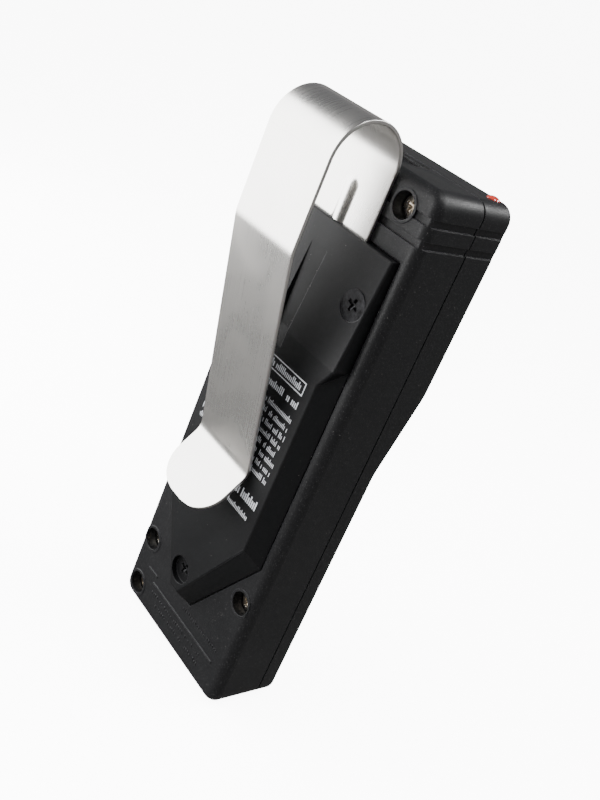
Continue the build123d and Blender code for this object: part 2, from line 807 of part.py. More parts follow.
# ---------------------------------------------------------------- battery and its contacts
def battery_section(inset):
    """Cross-section of the battery in (x, y), drawn in by inset."""
    return Pos(battery_x, battery_mid_y) * RectangleRounded(
        battery_width - 2 * inset, battery_thick - 2 * inset, battery_corner - inset)


def battery_jacket():
    """Steel jacket of the battery."""
    return up(battery_section(0) - battery_section(jacket_wall), battery_bottom, battery_top)


def battery_ends():
    """Plastic end pieces inside the jacket."""
    plug = battery_section(jacket_wall)
    lows = (battery_bottom, battery_top - end_piece_height)
    return Compound([up(plug, low, low + end_piece_height) for low in lows])


def battery_cells():
    """Six small cells in two rows of three."""
    group = []
    for i in (-1, 0, 1):
        for j in (-1, 1):
            x = battery_x + i * (2 * cell_radius + cell_row_gap)
            y = battery_mid_y + j * (cell_radius + cell_pair_gap / 2)
            group.append(rod_z(x, y, cell_radius, battery_bottom + end_piece_height + cell_end_gap,
                               battery_top - end_piece_height - cell_end_gap))
    return Compound(group)


def snap_stud(x, z_low, z_high):
    """Round snap stud of a battery contact."""
    return rod_z(x, battery_mid_y, stud_radius, z_low, z_high)


def snap_ring(x, z_low, z_high, hole_low, hole_high):
    """Snap socket of a battery contact, open at one end."""
    ring = rod_z(x, battery_mid_y, ring_radius, z_low, z_high)
    return ring - rod_z(x, battery_mid_y, ring_hole, hole_low, hole_high)


def battery_terminals():
    """Stud and ring on the battery's lower end."""
    low = battery_bottom - terminal_height
    stud = snap_stud(terminals[0], low, battery_bottom)
    ring = snap_ring(terminals[1], low, battery_bottom, low - past, battery_bottom - socket_floor)
    return Compound([stud, ring])


def battery_contacts():
    """Mating ring and stud on the terminal board."""
    high = terminal_z + contact_height
    ring = snap_ring(terminals[0], terminal_z, high, terminal_z + socket_floor, high + past)
    return Compound([ring, snap_stud(terminals[1], terminal_z, high)])


def terminal_board():
    """Small board across the case that carries the battery contacts."""
    half = battery_width / 2 - terminal_board_inset
    return block(battery_x - half, battery_x + half, battery_mid_y + terminal_board_reach[0],
                 battery_mid_y + terminal_board_reach[1], terminal_z - terminal_board_thick, terminal_z)


def contact_straps():
    """Straps from the terminal board down to the main board."""
    group = []
    for x in (battery_x - strap_spread, battery_x + strap_spread):
        group.append(block(x - strap_width / 2, x + strap_width / 2, board_rear, board_rear + strap_thick,
                           board_top - strap_tail, terminal_z - terminal_board_thick))
    return Compound(group)


def foam_pad():
    """Foam strip that steadies the battery against the back wall."""
    return block(battery_x + foam_reach[0], battery_x + foam_reach[1], battery_rear + foam_squeeze,
                 rear_inner - foam_squeeze, battery_bottom + foam_end_gap, ear_screw_z - foam_end_gap)


# ---------------------------------------------------------------- indicator
def indicator_lens():
    """Red light pipe through the top end of the front shell."""
    lens = rod_z(lens_x, lens_y, lens_radius, lens_foot, case_length + lens_proud)
    return fillet(lens.edges().sort_by(Axis.Z)[-1], lens_dome)


def indicator_led():
    """Indicator lamp under the light pipe."""
    body = rod_z(led_x, led_y, led_radius, led_top - led_length, led_top)
    return fillet(body.edges().sort_by(Axis.Z)[-1], led_dome)


def indicator_leads():
    """Leads of the indicator lamp, bent back to the board's arm."""
    half = lead_thick / 2
    foot = led_top - led_length
    turn = foot - lead_drop
    group = []
    for x in (led_x - lead_spread, led_x + lead_spread):
        lead = block(x - half, x + half, led_y - half, led_y + half, turn, foot)
        lead += block(x - half, x + half, led_y - half, board_front, turn - lead_thick, turn)
        group.append(lead)
    return Compound(group)


# ---------------------------------------------------------------- screws
def pan_screw(x, z, seat, head_radius, head_height, shank, length):
    """Pan-head screw seated at y = seat, pointing towards -Y; length is from the head's top."""
    top = seat + head_height
    head = rod_y(x, z, head_radius, seat, top)
    head = fillet(head.edges().sort_by(Axis.Y)[-1], head_height * pan_round)
    return head + rod_y(x, z, shank, top - length, seat)


def case_screws():
    """Screws that hold the two case halves together."""
    top = screw_seat + case_screw_head_height
    group = []
    for x, z in case_screw_places:
        screw = pan_screw(x, z, screw_seat, case_screw_head, case_screw_head_height, case_screw_shank,
                          case_screw_length)
        group.append(screw - cross_recess(x, z, top))
    return Compound(group)


def plate_screws():
    """Countersunk screws that hold the clip plate."""
    group = []
    for x, z in plate_screw_places:
        shank = rod_y(x, z, plate_screw_shank, screw_top_y - plate_screw_length,
                      screw_top_y - plate_screw_head_height)
        group.append(screw_cone(x, z, 0) + shank - cross_recess(x, z, screw_top_y))
    return Compound(group)


def board_screws():
    """Screws that hold the board to the front shell's posts."""
    return Compound([pan_screw(x, z, board_rear, board_screw_head, board_screw_head_height,
                               board_screw_shank, board_screw_length) for x, z in board_screw_places])


# ---------------------------------------------------------------- build every piece
pieces = {
    "rear_shell": rear_shell(),
    "front_shell": front_shell(),
    "clip_plate": clip_plate(),
    "label_print": label_print(),
    "visor_clip_base": clip_base(),
    "visor_clip_arm": clip_arm(),
    "case_screws": case_screws(),
    "plate_screws": plate_screws(),
    "board_screws": board_screws(),
    "circuit_board": circuit_board(),
    "switch_housings": switch_housings(),
    "switch_domes": switch_domes(),
    "microcontroller": microcontroller(),
    "microcontroller_pins": microcontroller_pins(),
    "saw_resonator": saw_resonator(),
    "rf_transistor": rf_transistor(),
    "capacitor_can": capacitor_can(),
    "chip_resistors": chip_parts(resistor_places, resistor_size),
    "chip_capacitors": chip_parts(capacitor_places, capacitor_size),
    "loop_antenna": loop_antenna(),
    "battery_jacket": battery_jacket(),
    "battery_ends": battery_ends(),
    "battery_cells": battery_cells(),
    "battery_terminals": battery_terminals(),
    "terminal_board": terminal_board(),
    "battery_contacts": battery_contacts(),
    "contact_straps": contact_straps(),
    "foam_pad": foam_pad(),
    "indicator_lens": indicator_lens(),
    "indicator_led": indicator_led(),
    "indicator_leads": indicator_leads(),
}
for number, height in enumerate(button_heights, start=1):
    pieces[f"button_{number}"] = button(height, number)
    pieces[f"switch_plunger_{number}"] = plunger(height)

os.makedirs("parts", exist_ok=True)
case_middle = (rear_depth - grip_depth) / 2
for name, solid in pieces.items():
    export_step(Pos(0, -case_middle, 0) * solid, f"parts/{name}.step")
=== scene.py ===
"""Looks of a hand-held gate remote: a two-part black case with a brushed steel visor clip on its back.

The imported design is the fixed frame. Places are read from its boxes, the case keeps its own shape and gets
moulded plastic, and the clip, screws, print, raised marks and lens are modelled here as finer surfaces.
"""
import json
import logging
import math
from dataclasses import dataclass
from enum import Enum

import bmesh
import bpy
import numpy as np
from mathutils import Matrix, Vector


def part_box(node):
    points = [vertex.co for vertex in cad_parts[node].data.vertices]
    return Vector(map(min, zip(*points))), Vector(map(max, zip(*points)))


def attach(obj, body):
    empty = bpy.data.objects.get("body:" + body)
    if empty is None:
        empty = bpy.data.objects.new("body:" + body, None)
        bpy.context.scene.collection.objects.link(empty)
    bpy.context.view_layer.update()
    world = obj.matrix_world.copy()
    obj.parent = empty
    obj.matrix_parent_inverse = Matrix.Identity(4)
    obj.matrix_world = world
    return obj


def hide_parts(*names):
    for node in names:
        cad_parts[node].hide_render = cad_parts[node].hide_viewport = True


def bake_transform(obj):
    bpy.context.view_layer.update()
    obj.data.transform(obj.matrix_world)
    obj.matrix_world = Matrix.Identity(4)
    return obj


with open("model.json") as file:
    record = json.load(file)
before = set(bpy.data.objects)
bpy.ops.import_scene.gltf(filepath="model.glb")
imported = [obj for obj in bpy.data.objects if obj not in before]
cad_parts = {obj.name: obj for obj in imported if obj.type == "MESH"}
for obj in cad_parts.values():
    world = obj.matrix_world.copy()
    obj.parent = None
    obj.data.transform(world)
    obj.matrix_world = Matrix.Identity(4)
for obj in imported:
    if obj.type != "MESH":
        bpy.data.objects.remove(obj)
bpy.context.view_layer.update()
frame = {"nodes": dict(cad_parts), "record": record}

LOG = logging.getLogger("gate_remote")
MM = 0.001
Colour = tuple[float, float, float]
Socket = bpy.types.NodeSocket


# ------------------------------------------------------------------ places read from the frame
class Side(Enum):
    """Which corner of a node's box a place is read from."""

    LOW = 0
    HIGH = 1


def edge_of(node: str, side: Side) -> np.ndarray:
    """Corner of a node's box at rest.

    Args:
        node: name of the design's node.
        side: the lowest or the highest corner.

    Returns:
        The corner as an array of three metres.
    """
    return np.array(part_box(node)[side.value], dtype=float)


# ------------------------------------------------------------------ mesh building
def unwrap_grid(points: np.ndarray, closed: bool) -> tuple[np.ndarray, np.ndarray]:
    """Index grid of a surface, with the first column repeated at the end when it closes on itself.

    Args:
        points: the surface as an array (rows, columns, 3).
        closed: whether the last column joins the first.

    Returns:
        The vertex numbers as an array (rows, columns or columns + 1), and the quads between them.
    """
    rows, columns = points.shape[:2]
    index = np.arange(rows * columns).reshape(rows, columns)
    if closed:
        index = np.concatenate([index, index[:, :1]], axis=1)
    quads = np.stack([index[:-1, :-1], index[1:, :-1], index[1:, 1:], index[:-1, 1:]], axis=-1)
    return index, quads.reshape(-1, 4)


def make_mesh(name: str, vertices: np.ndarray, faces: np.ndarray, uv: np.ndarray | None = None,
              smooth: bool = True) -> bpy.types.Object:
    """Puts whole arrays of vertices and quads into a new object at the origin.

    Doubles at poles are merged and the faces are turned outwards.

    Args:
        name: the piece's name.
        vertices: array (n, 3) in metres.
        faces: array (m, 4) of vertex numbers.
        uv: array (n, 2), one coordinate for each vertex, or None.
        smooth: whether the faces are shaded smooth, with sharp edges kept by angle.

    Returns:
        The new object, linked to the scene.
    """
    mesh = bpy.data.meshes.new(name)
    mesh.vertices.add(len(vertices))
    mesh.vertices.foreach_set("co", np.ascontiguousarray(vertices, dtype=np.float32).ravel())
    mesh.loops.add(faces.size)
    mesh.loops.foreach_set("vertex_index", faces.astype(np.int32).ravel())
    mesh.polygons.add(len(faces))
    mesh.polygons.foreach_set("loop_start", np.arange(0, faces.size, 4, dtype=np.int32))
    mesh.polygons.foreach_set("loop_total", np.full(len(faces), 4, dtype=np.int32))
    mesh.update(calc_edges=True)
    if uv is not None:
        layer = mesh.uv_layers.new(name="UVMap")
        layer.data.foreach_set("uv", uv[faces.ravel()].astype(np.float32).ravel())
    shape = bmesh.new()
    shape.from_mesh(mesh)
    bmesh.ops.remove_doubles(shape, verts=shape.verts, dist=1e-7)
    bmesh.ops.recalc_face_normals(shape, faces=shape.faces)
    shape.to_mesh(mesh)
    shape.free()
    mesh.polygons.foreach_set("use_smooth", np.full(len(mesh.polygons), smooth))
    if smooth:
        mesh.set_sharp_from_angle(angle=math.radians(38.0))
    piece = bpy.data.objects.new(name, mesh)
    bpy.context.scene.collection.objects.link(piece)
    return piece


def stack(parts: list[tuple[np.ndarray, np.ndarray]]) -> tuple[np.ndarray, np.ndarray]:
    """Joins several (vertices, quads) pairs into one, shifting the vertex numbers.

    Args:
        parts: the pairs to join.

    Returns:
        One array of vertices and one of quads.
    """
    shifts = np.cumsum([0] + [len(v) for v, _ in parts[:-1]])
    vertices = np.concatenate([v for v, _ in parts])
    return vertices, np.concatenate([f + s for (_, f), s in zip(parts, shifts)])


def slab_boxes(x0: np.ndarray, x1: np.ndarray, z0: np.ndarray, z1: np.ndarray, y0: float, y1: float,
               draft: float) -> tuple[np.ndarray, np.ndarray]:
    """Many low blocks standing on a face that looks towards +Y.

    Each block is a foot rectangle at y0 and the same rectangle, drawn in by the draft, at y1.

    Args:
        x0, x1, z0, z1: arrays (n,) with the sides of each foot.
        y0, y1: foot and top of every block.
        draft: how far each side leans in.

    Returns:
        The vertices and quads of all the blocks.
    """
    count = len(x0)
    corner_x = np.stack([x0, x1, x1, x0], axis=1)
    corner_z = np.stack([z0, z0, z1, z1], axis=1)
    lean_x = np.array([1.0, -1.0, -1.0, 1.0]) * draft
    lean_z = np.array([1.0, 1.0, -1.0, -1.0]) * draft
    foot = np.stack([corner_x, np.full((count, 4), y0), corner_z], axis=-1)
    top = np.stack([corner_x + lean_x, np.full((count, 4), y1), corner_z + lean_z], axis=-1)
    vertices = np.concatenate([foot, top], axis=1).reshape(-1, 3)
    one = np.array([[0, 1, 2, 3], [4, 7, 6, 5], [0, 4, 5, 1], [1, 5, 6, 2], [2, 6, 7, 3], [3, 7, 4, 0]])
    faces = (one[None] + 8 * np.arange(count)[:, None, None]).reshape(-1, 4)
    return vertices, faces


def smooth_step(low: float, high: float, value: np.ndarray) -> np.ndarray:
    """Zero below low, one above high, and between them 3 t squared less 2 t cubed.

    Args:
        low, high: where the ease starts and ends.
        value: what is read.

    Returns:
        The share, from 0 to 1.
    """
    t = np.clip((value - low) / (high - low), 0.0, 1.0)
    return t * t * (3.0 - 2.0 * t)


def bent_route(corners: np.ndarray, radii: list[float], step: float) -> np.ndarray:
    """Points along straight runs joined by tangent arcs, in a plane.

    At a corner with turn a, the arc of radius r starts r tan(a / 2) before the corner and ends as far
    after it; its points are the arc's centre plus r times a unit vector that turns evenly.

    Args:
        corners: array (n, 2) of the route's corners.
        radii: the arc's radius at each inner corner.
        step: the greatest distance between points.

    Returns:
        Array (m, 2) of points, evenly spaced on each run and arc.
    """
    runs = []
    start = corners[0]
    for before, corner, after, radius in zip(corners[:-2], corners[1:-1], corners[2:], radii):
        way_in = (corner - before) / np.linalg.norm(corner - before)
        way_out = (after - corner) / np.linalg.norm(after - corner)
        turn = math.acos(float(np.clip(way_in @ way_out, -1.0, 1.0)))
        cut = radius * math.tan(turn / 2)
        first = corner - way_in * cut
        side = np.sign(way_in[0] * way_out[1] - way_in[1] * way_out[0])
        inward = np.array([-way_in[1], way_in[0]]) * side
        centre = first + inward * radius
        count = max(int(radius * turn / step), 10)
        angle = np.linspace(0.0, turn, count + 1)[:, None]
        arc = centre - inward * radius * np.cos(angle) + way_in * radius * np.sin(angle)
        count = max(int(np.linalg.norm(first - start) / step), 2)
        runs.append(start + (first - start) * np.linspace(0.0, 1.0, count + 1)[:-1, None])
        runs.append(arc[:-1])
        start = arc[-1]
    count = max(int(np.linalg.norm(corners[-1] - start) / step), 2)
    runs.append(start + (corners[-1] - start) * np.linspace(0.0, 1.0, count + 1)[:, None])
    return np.concatenate(runs)


# ------------------------------------------------------------------ shader tools
class Nodes:
    """Short ways to add and join shader nodes in one tree."""

    def __init__(self, tree: bpy.types.NodeTree) -> None:
        """Keeps the tree that nodes are added to."""
        self.tree = tree

    def add(self, kind: str, **settings: object) -> bpy.types.Node:
        """Adds one node and gives it its settings.

        Args:
            kind: the node's type name.
            settings: attributes of the node, or values of its inputs when the key starts with "in_".

        Returns:
            The new node.
        """
        node = self.tree.nodes.new(kind)
        for key, value in settings.items():
            if key.startswith("in_"):
                node.inputs[key[3:].replace("_", " ")].default_value = value
            else:
                setattr(node, key, value)
        return node

    def link(self, source: bpy.types.NodeSocket, target: bpy.types.NodeSocket) -> None:
        """Joins an output to an input."""
        self.tree.links.new(source, target)

    def math(self, operation: str, first: Socket | float, second: Socket | float = 0.0,
             clamp: bool = False) -> Socket:
        """Adds a Math node.

        Args:
            operation: the node's operation.
            first, second: sockets or numbers to work on.
            clamp: whether the result is kept between 0 and 1.

        Returns:
            The node's output.
        """
        node = self.add("ShaderNodeMath", operation=operation, use_clamp=clamp)
        for slot, value in zip(node.inputs, (first, second)):
            if isinstance(value, (int, float)):
                slot.default_value = value
            else:
                self.link(value, slot)
        return node.outputs[0]

    def ramp(self, value: Socket, low: float, high: float, out_low: float = 0.0,
             out_high: float = 1.0) -> Socket:
        """Adds a clamped Map Range node.

        Args:
            value: the socket to map.
            low, high: the range that is read.
            out_low, out_high: what its ends become.

        Returns:
            The node's output.
        """
        node = self.add("ShaderNodeMapRange", in_From_Min=low, in_From_Max=high, in_To_Min=out_low,
                        in_To_Max=out_high)
        self.link(value, node.inputs["Value"])
        return node.outputs["Result"]

    def mix(self, factor: Socket, first: Socket | Colour, second: Socket | Colour) -> Socket:
        """Adds a colour Mix node.

        Args:
            factor: share of the second colour.
            first, second: sockets or colours.

        Returns:
            The node's output.
        """
        node = self.add("ShaderNodeMix", data_type="RGBA")
        self.link(factor, node.inputs["Factor"])
        for slot, value in ((node.inputs[6], first), (node.inputs[7], second)):
            if isinstance(value, tuple):
                slot.default_value = (*value, 1.0)
            else:
                self.link(value, slot)
        return node.outputs[2]

    def noise(self, place: Socket, scale: float, detail: float = 2.0, roughness: float = 0.5) -> Socket:
        """Adds a Noise texture.

        Args:
            place: the coordinate it reads.
            scale, detail, roughness: the texture's own settings.

        Returns:
            The noise's value.
        """
        node = self.add("ShaderNodeTexNoise", in_Scale=scale, in_Detail=detail, in_Roughness=roughness)
        self.link(place, node.inputs["Vector"])
        return node.outputs[0]


class ShaderGroups:
    """The effects that several finishes share, each built once as a node group."""

    @staticmethod
    def _tree(name: str, inputs: dict[str, float], outputs: dict[str, str]) -> bpy.types.NodeTree:
        """Makes an empty group with float inputs and typed outputs.

        Args:
            name: the group's name.
            inputs: each float input with its default.
            outputs: each output with its socket type.

        Returns:
            The group's tree.
        """
        tree = bpy.data.node_groups.new(name, "ShaderNodeTree")
        for label, default in inputs.items():
            socket = tree.interface.new_socket(name=label, in_out="INPUT", socket_type="NodeSocketFloat")
            socket.default_value = default
        for label, kind in outputs.items():
            tree.interface.new_socket(name=label, in_out="OUTPUT", socket_type=kind)
        return tree

    @classmethod
    def grain(cls) -> bpy.types.NodeTree:
        """Fine pitted texture of a moulded face.

        Returns:
            A group whose Height is pits and bumps, and whose Speck marks the few tips among them that get a
            painted glint.
        """
        tree = cls._tree("moulded_grain", {"Scale": 2400.0},
                         {"Height": "NodeSocketFloat", "Speck": "NodeSocketFloat"})
        make = Nodes(tree)
        given = make.add("NodeGroupInput")
        out = make.add("NodeGroupOutput")
        place = make.add("ShaderNodeTexCoord").outputs["Object"]
        cells = make.add("ShaderNodeTexVoronoi", feature="SMOOTH_F1", in_Smoothness=0.6)
        make.link(place, cells.inputs["Vector"])
        make.link(given.outputs["Scale"], cells.inputs["Scale"])
        fine = make.add("ShaderNodeTexNoise", in_Detail=3.0)
        make.link(place, fine.inputs["Vector"])
        make.link(make.math("MULTIPLY", given.outputs["Scale"], 1.7), fine.inputs["Scale"])
        height = make.math("ADD", make.math("MULTIPLY", cells.outputs["Distance"], 0.7),
                           make.math("MULTIPLY", fine.outputs[0], 0.6))
        make.link(height, out.inputs["Height"])
        # Speck: grain tips whose colour the finishes lift as a painted glint
        make.link(make.ramp(fine.outputs[0], 0.60, 0.74), out.inputs["Speck"])
        return tree

    @classmethod
    def handling(cls) -> bpy.types.NodeTree:
        """Marks left by use: broad smudges and a little dust.

        Returns:
            A group whose Smudge is a soft cloud from 0 to 1 and whose Dust is sparse small spots.
        """
        tree = cls._tree("handling_marks", {"Scale": 60.0},
                         {"Smudge": "NodeSocketFloat", "Dust": "NodeSocketFloat"})
        make = Nodes(tree)
        given = make.add("NodeGroupInput")
        out = make.add("NodeGroupOutput")
        place = make.add("ShaderNodeTexCoord").outputs["Object"]
        cloud = make.add("ShaderNodeTexNoise", in_Detail=4.0, in_Distortion=0.6)
        make.link(place, cloud.inputs["Vector"])
        make.link(given.outputs["Scale"], cloud.inputs["Scale"])
        spots = make.add("ShaderNodeTexVoronoi", in_Scale=900.0)
        make.link(place, spots.inputs["Vector"])
        near = make.ramp(spots.outputs["Distance"], 0.10, 0.05)
        some = make.ramp(make.noise(place, 180.0, 1.0), 0.56, 0.66)
        make.link(make.ramp(cloud.outputs[0], 0.35, 0.70), out.inputs["Smudge"])
        make.link(make.math("MULTIPLY", near, some), out.inputs["Dust"])
        return tree

    @classmethod
    def worn_edge(cls) -> bpy.types.NodeTree:
        """Edges painted lighter, partly as wear and partly as a painted highlight: where the rounded normal
        leaves the true one.

        Returns:
            A group whose Edge is a broken mask of painted highlight and wear along the edges and whose
            Normal is the rounded normal.
        """
        tree = cls._tree("worn_edge", {"Scale": 700.0},
                         {"Edge": "NodeSocketFloat", "Normal": "NodeSocketVector"})
        make = Nodes(tree)
        given = make.add("NodeGroupInput")
        out = make.add("NodeGroupOutput")
        rounded = make.add("ShaderNodeBevel", samples=4, in_Radius=0.22 * MM)
        true = make.add("ShaderNodeNewGeometry")
        facing = make.add("ShaderNodeVectorMath", operation="DOT_PRODUCT")
        make.link(rounded.outputs["Normal"], facing.inputs[0])
        make.link(true.outputs["Normal"], facing.inputs[1])
        away = make.ramp(facing.outputs["Value"], 0.985, 0.80)
        place = make.add("ShaderNodeTexCoord").outputs["Object"]
        broken = make.add("ShaderNodeTexNoise", in_Detail=3.0)
        make.link(place, broken.inputs["Vector"])
        make.link(given.outputs["Scale"], broken.inputs["Scale"])
        patches = make.ramp(broken.outputs[0], 0.3, 0.6, 0.35, 1.0)
        # Edge mask: where the base colour is lifted, partly as wear and partly as a painted highlight
        make.link(make.math("MULTIPLY", away, patches), out.inputs["Edge"])
        make.link(rounded.outputs["Normal"], out.inputs["Normal"])
        return tree

    @classmethod
    def brushed(cls) -> bpy.types.NodeTree:
        """Rolling and brushing lines that run along a strip's own length.

        Returns:
            A group whose Streak is fine lines from 0 to 1 and whose Scratch is a few stronger ones.
        """
        tree = cls._tree("brushed_lines", {"Across": 1.0},
                         {"Streak": "NodeSocketFloat", "Scratch": "NodeSocketFloat"})
        make = Nodes(tree)
        given = make.add("NodeGroupInput")
        out = make.add("NodeGroupOutput")
        place = make.add("ShaderNodeTexCoord").outputs["UV"]
        split = make.add("ShaderNodeSeparateXYZ")
        make.link(place, split.inputs[0])
        values = []
        for across, along in ((12000.0, 14.0), (5200.0, 4.0)):
            join = make.add("ShaderNodeCombineXYZ")
            wide = make.math("MULTIPLY", given.outputs["Across"], across)
            make.link(make.math("MULTIPLY", split.outputs[0], wide), join.inputs[0])
            make.link(make.math("MULTIPLY", split.outputs[1], along), join.inputs[1])
            values.append(make.noise(join.outputs[0], 1.0, 2.0))
        streak = make.math("ADD", make.math("MULTIPLY", values[0], 0.6),
                           make.math("MULTIPLY", values[1], 0.4))
        make.link(streak, out.inputs["Streak"])
        make.link(make.ramp(values[1], 0.66, 0.78), out.inputs["Scratch"])
        return tree


class Groups:
    """The shared groups, built on first use."""

    _made: dict[str, bpy.types.NodeTree] = {}

    @classmethod
    def place(cls, make: Nodes, name: str, **values: float) -> bpy.types.Node:
        """Places a shared group in a material.

        Args:
            make: the material's nodes.
            name: the name of a ShaderGroups method.
            values: values for the group's inputs.

        Returns:
            The group node.
        """
        if name not in cls._made:
            cls._made[name] = getattr(ShaderGroups, name)()
        node = make.add("ShaderNodeGroup")
        node.node_tree = cls._made[name]
        for key, value in values.items():
            node.inputs[key].default_value = value
        return node


def new_material(name: str) -> tuple[bpy.types.Material, Nodes, bpy.types.Node]:
    """An empty material with its Principled shader.

    Args:
        name: the finish's name.

    Returns:
        The material, its nodes, and the shader.
    """
    material = bpy.data.materials.new(name)
    material.use_nodes = True
    make = Nodes(material.node_tree)
    return material, make, material.node_tree.nodes["Principled BSDF"]


# ------------------------------------------------------------------ finishes
@dataclass(frozen=True)
class MouldedPlastic:
    """Moulded plastic with a pitted face whose tips get a painted glint, edges painted lighter as wear and
    as a painted highlight, smudges and dust.
    """

    name: str
    colour: Colour
    # lighter colour of the edges: wear and painted highlight
    edge_wear_and_highlight_colour: Colour
    roughness: float
    spread: float = 0.12
    grain_scale: float = 2400.0
    grain_depth: float = 0.02 * MM
    speck: float = 0.0
    dust: float = 0.25
    specular: float = 0.35

    def build(self) -> bpy.types.Material:
        """Makes the material.

        Returns:
            Colour lifts at edges (wear and a painted highlight), at grain tips (a painted glint) and at
            dust; roughness follows the smudges; grain is a bump.
        """
        material, make, shader = new_material(self.name)
        grain = Groups.place(make, "grain", Scale=self.grain_scale)
        marks = Groups.place(make, "handling", Scale=55.0)
        edge_lift = Groups.place(make, "worn_edge", Scale=700.0)
        # painted glint: grain tips are lifted a little towards white
        glint_colour = tuple(c + (1 - c) * 0.05 for c in self.colour)
        base = make.mix(make.math("MULTIPLY", grain.outputs["Speck"], self.speck), self.colour, glint_colour)
        base = make.mix(make.math("MULTIPLY", marks.outputs["Dust"], self.dust), base, (0.35, 0.34, 0.32))
        # painted highlight and wear: edges are mixed towards the lighter edge colour
        base = make.mix(make.math("MULTIPLY", edge_lift.outputs["Edge"], 0.8), base, self.edge_wear_and_highlight_colour)
        make.link(base, shader.inputs["Base Color"])
        rough = make.ramp(marks.outputs["Smudge"], 0.0, 1.0, self.roughness - self.spread / 2,
                          self.roughness + self.spread / 2)
        shine = make.math("MULTIPLY", grain.outputs["Speck"], 0.18 * self.speck)
        rough = make.math("SUBTRACT", rough, shine, True)
        make.link(rough, shader.inputs["Roughness"])
        bump = make.add("ShaderNodeBump", in_Distance=self.grain_depth, in_Strength=1.0)
        make.link(grain.outputs["Height"], bump.inputs["Height"])
        make.link(edge_lift.outputs["Normal"], bump.inputs["Normal"])
        make.link(bump.outputs["Normal"], shader.inputs["Normal"])
        shader.inputs["Specular IOR Level"].default_value = self.specular
        return material


@dataclass(frozen=True)
class BrushedSteel:
    """Stainless strip with lengthwise brushing, faint stains and a few scratches."""

    name: str
    colour: Colour
    roughness: float
    depth: float = 0.0012 * MM

    def build(self) -> bpy.types.Material:
        """Makes the material.

        Returns:
            Streaks run along the strip in colour, roughness and bump, over a soft cloud of stain.
        """
        material, make, shader = new_material(self.name)
        lines = Groups.place(make, "brushed", Across=1.0)
        marks = Groups.place(make, "handling", Scale=90.0)
        darker = tuple(c * 0.90 for c in self.colour)
        base = make.mix(make.ramp(lines.outputs["Streak"], 0.25, 0.75), darker, self.colour)
        base = make.mix(make.math("MULTIPLY", marks.outputs["Smudge"], 0.25), base,
                        tuple(c * f for c, f in zip(self.colour, (0.92, 0.90, 0.86))))
        make.link(base, shader.inputs["Base Color"])
        rough = make.ramp(lines.outputs["Streak"], 0.3, 0.7, self.roughness - 0.03, self.roughness + 0.03)
        rough = make.math("ADD", rough, make.math("MULTIPLY", marks.outputs["Smudge"], 0.05))
        rough = make.math("SUBTRACT", rough, make.math("MULTIPLY", lines.outputs["Scratch"], 0.02))
        make.link(rough, shader.inputs["Roughness"])
        bump = make.add("ShaderNodeBump", in_Distance=self.depth, in_Strength=0.6)
        make.link(lines.outputs["Streak"], bump.inputs["Height"])
        make.link(bump.outputs["Normal"], shader.inputs["Normal"])
        shader.inputs["Metallic"].default_value = 1.0
        return material


@dataclass(frozen=True)
class PlatedMetal:
    """Small plated or bare metal parts, with tarnish in patches."""

    name: str
    colour: Colour
    tarnish: Colour
    roughness: float
    patch_scale: float = 500.0

    def build(self) -> bpy.types.Material:
        """Makes the material.

        Returns:
            Colour and roughness go from bright metal to tarnish by noise, with a fine bump.
        """
        material, make, shader = new_material(self.name)
        place = make.add("ShaderNodeTexCoord").outputs["Object"]
        patch = make.ramp(make.noise(place, self.patch_scale, 4.0, 0.6), 0.40, 0.66)
        make.link(make.mix(patch, self.colour, self.tarnish), shader.inputs["Base Color"])
        rough = make.ramp(patch, 0.0, 1.0, self.roughness, self.roughness + 0.22)
        make.link(rough, shader.inputs["Roughness"])
        bump = make.add("ShaderNodeBump", in_Distance=0.01 * MM, in_Strength=0.5)
        make.link(make.noise(place, self.patch_scale * 9.0, 2.0), bump.inputs["Height"])
        make.link(bump.outputs["Normal"], shader.inputs["Normal"])
        shader.inputs["Metallic"].default_value = 1.0
        return material


@dataclass(frozen=True)
class PrintedInk:
    """White pad-printed ink, thin in places."""

    name: str
    colour: Colour
    under: Colour

    def build(self) -> bpy.types.Material:
        """Makes the material.

        Returns:
            White that lets a little of the plastic through where the ink is thin.
        """
        material, make, shader = new_material(self.name)
        place = make.add("ShaderNodeTexCoord").outputs["Object"]
        thin = make.ramp(make.noise(place, 2600.0, 3.0, 0.7), 0.52, 0.72, 0.0, 0.45)
        make.link(make.mix(thin, self.colour, self.under), shader.inputs["Base Color"])
        make.link(make.ramp(thin, 0.0, 0.45, 0.42, 0.58), shader.inputs["Roughness"])
        bump = make.add("ShaderNodeBump", in_Distance=0.006 * MM, in_Strength=0.6)
        make.link(make.noise(place, 5200.0, 2.0), bump.inputs["Height"])
        make.link(bump.outputs["Normal"], shader.inputs["Normal"])
        return material


@dataclass(frozen=True)
class ClearRed:
    """Clear red plastic of the indicator, with flow lines inside."""

    name: str
    colour: Colour
    deep: Colour

    def build(self) -> bpy.types.Material:
        """Makes the material.

        Returns:
            A glossy, partly clear red that deepens in soft bands.
        """
        material, make, shader = new_material(self.name)
        place = make.add("ShaderNodeTexCoord").outputs["Object"]
        band = make.ramp(make.noise(place, 420.0, 3.0), 0.35, 0.7)
        make.link(make.mix(band, self.colour, self.deep), shader.inputs["Base Color"])
        make.link(make.ramp(band, 0.0, 1.0, 0.10, 0.22), shader.inputs["Roughness"])
        shader.inputs["Transmission Weight"].default_value = 0.35
        shader.inputs["Coat Weight"].default_value = 0.5
        return material


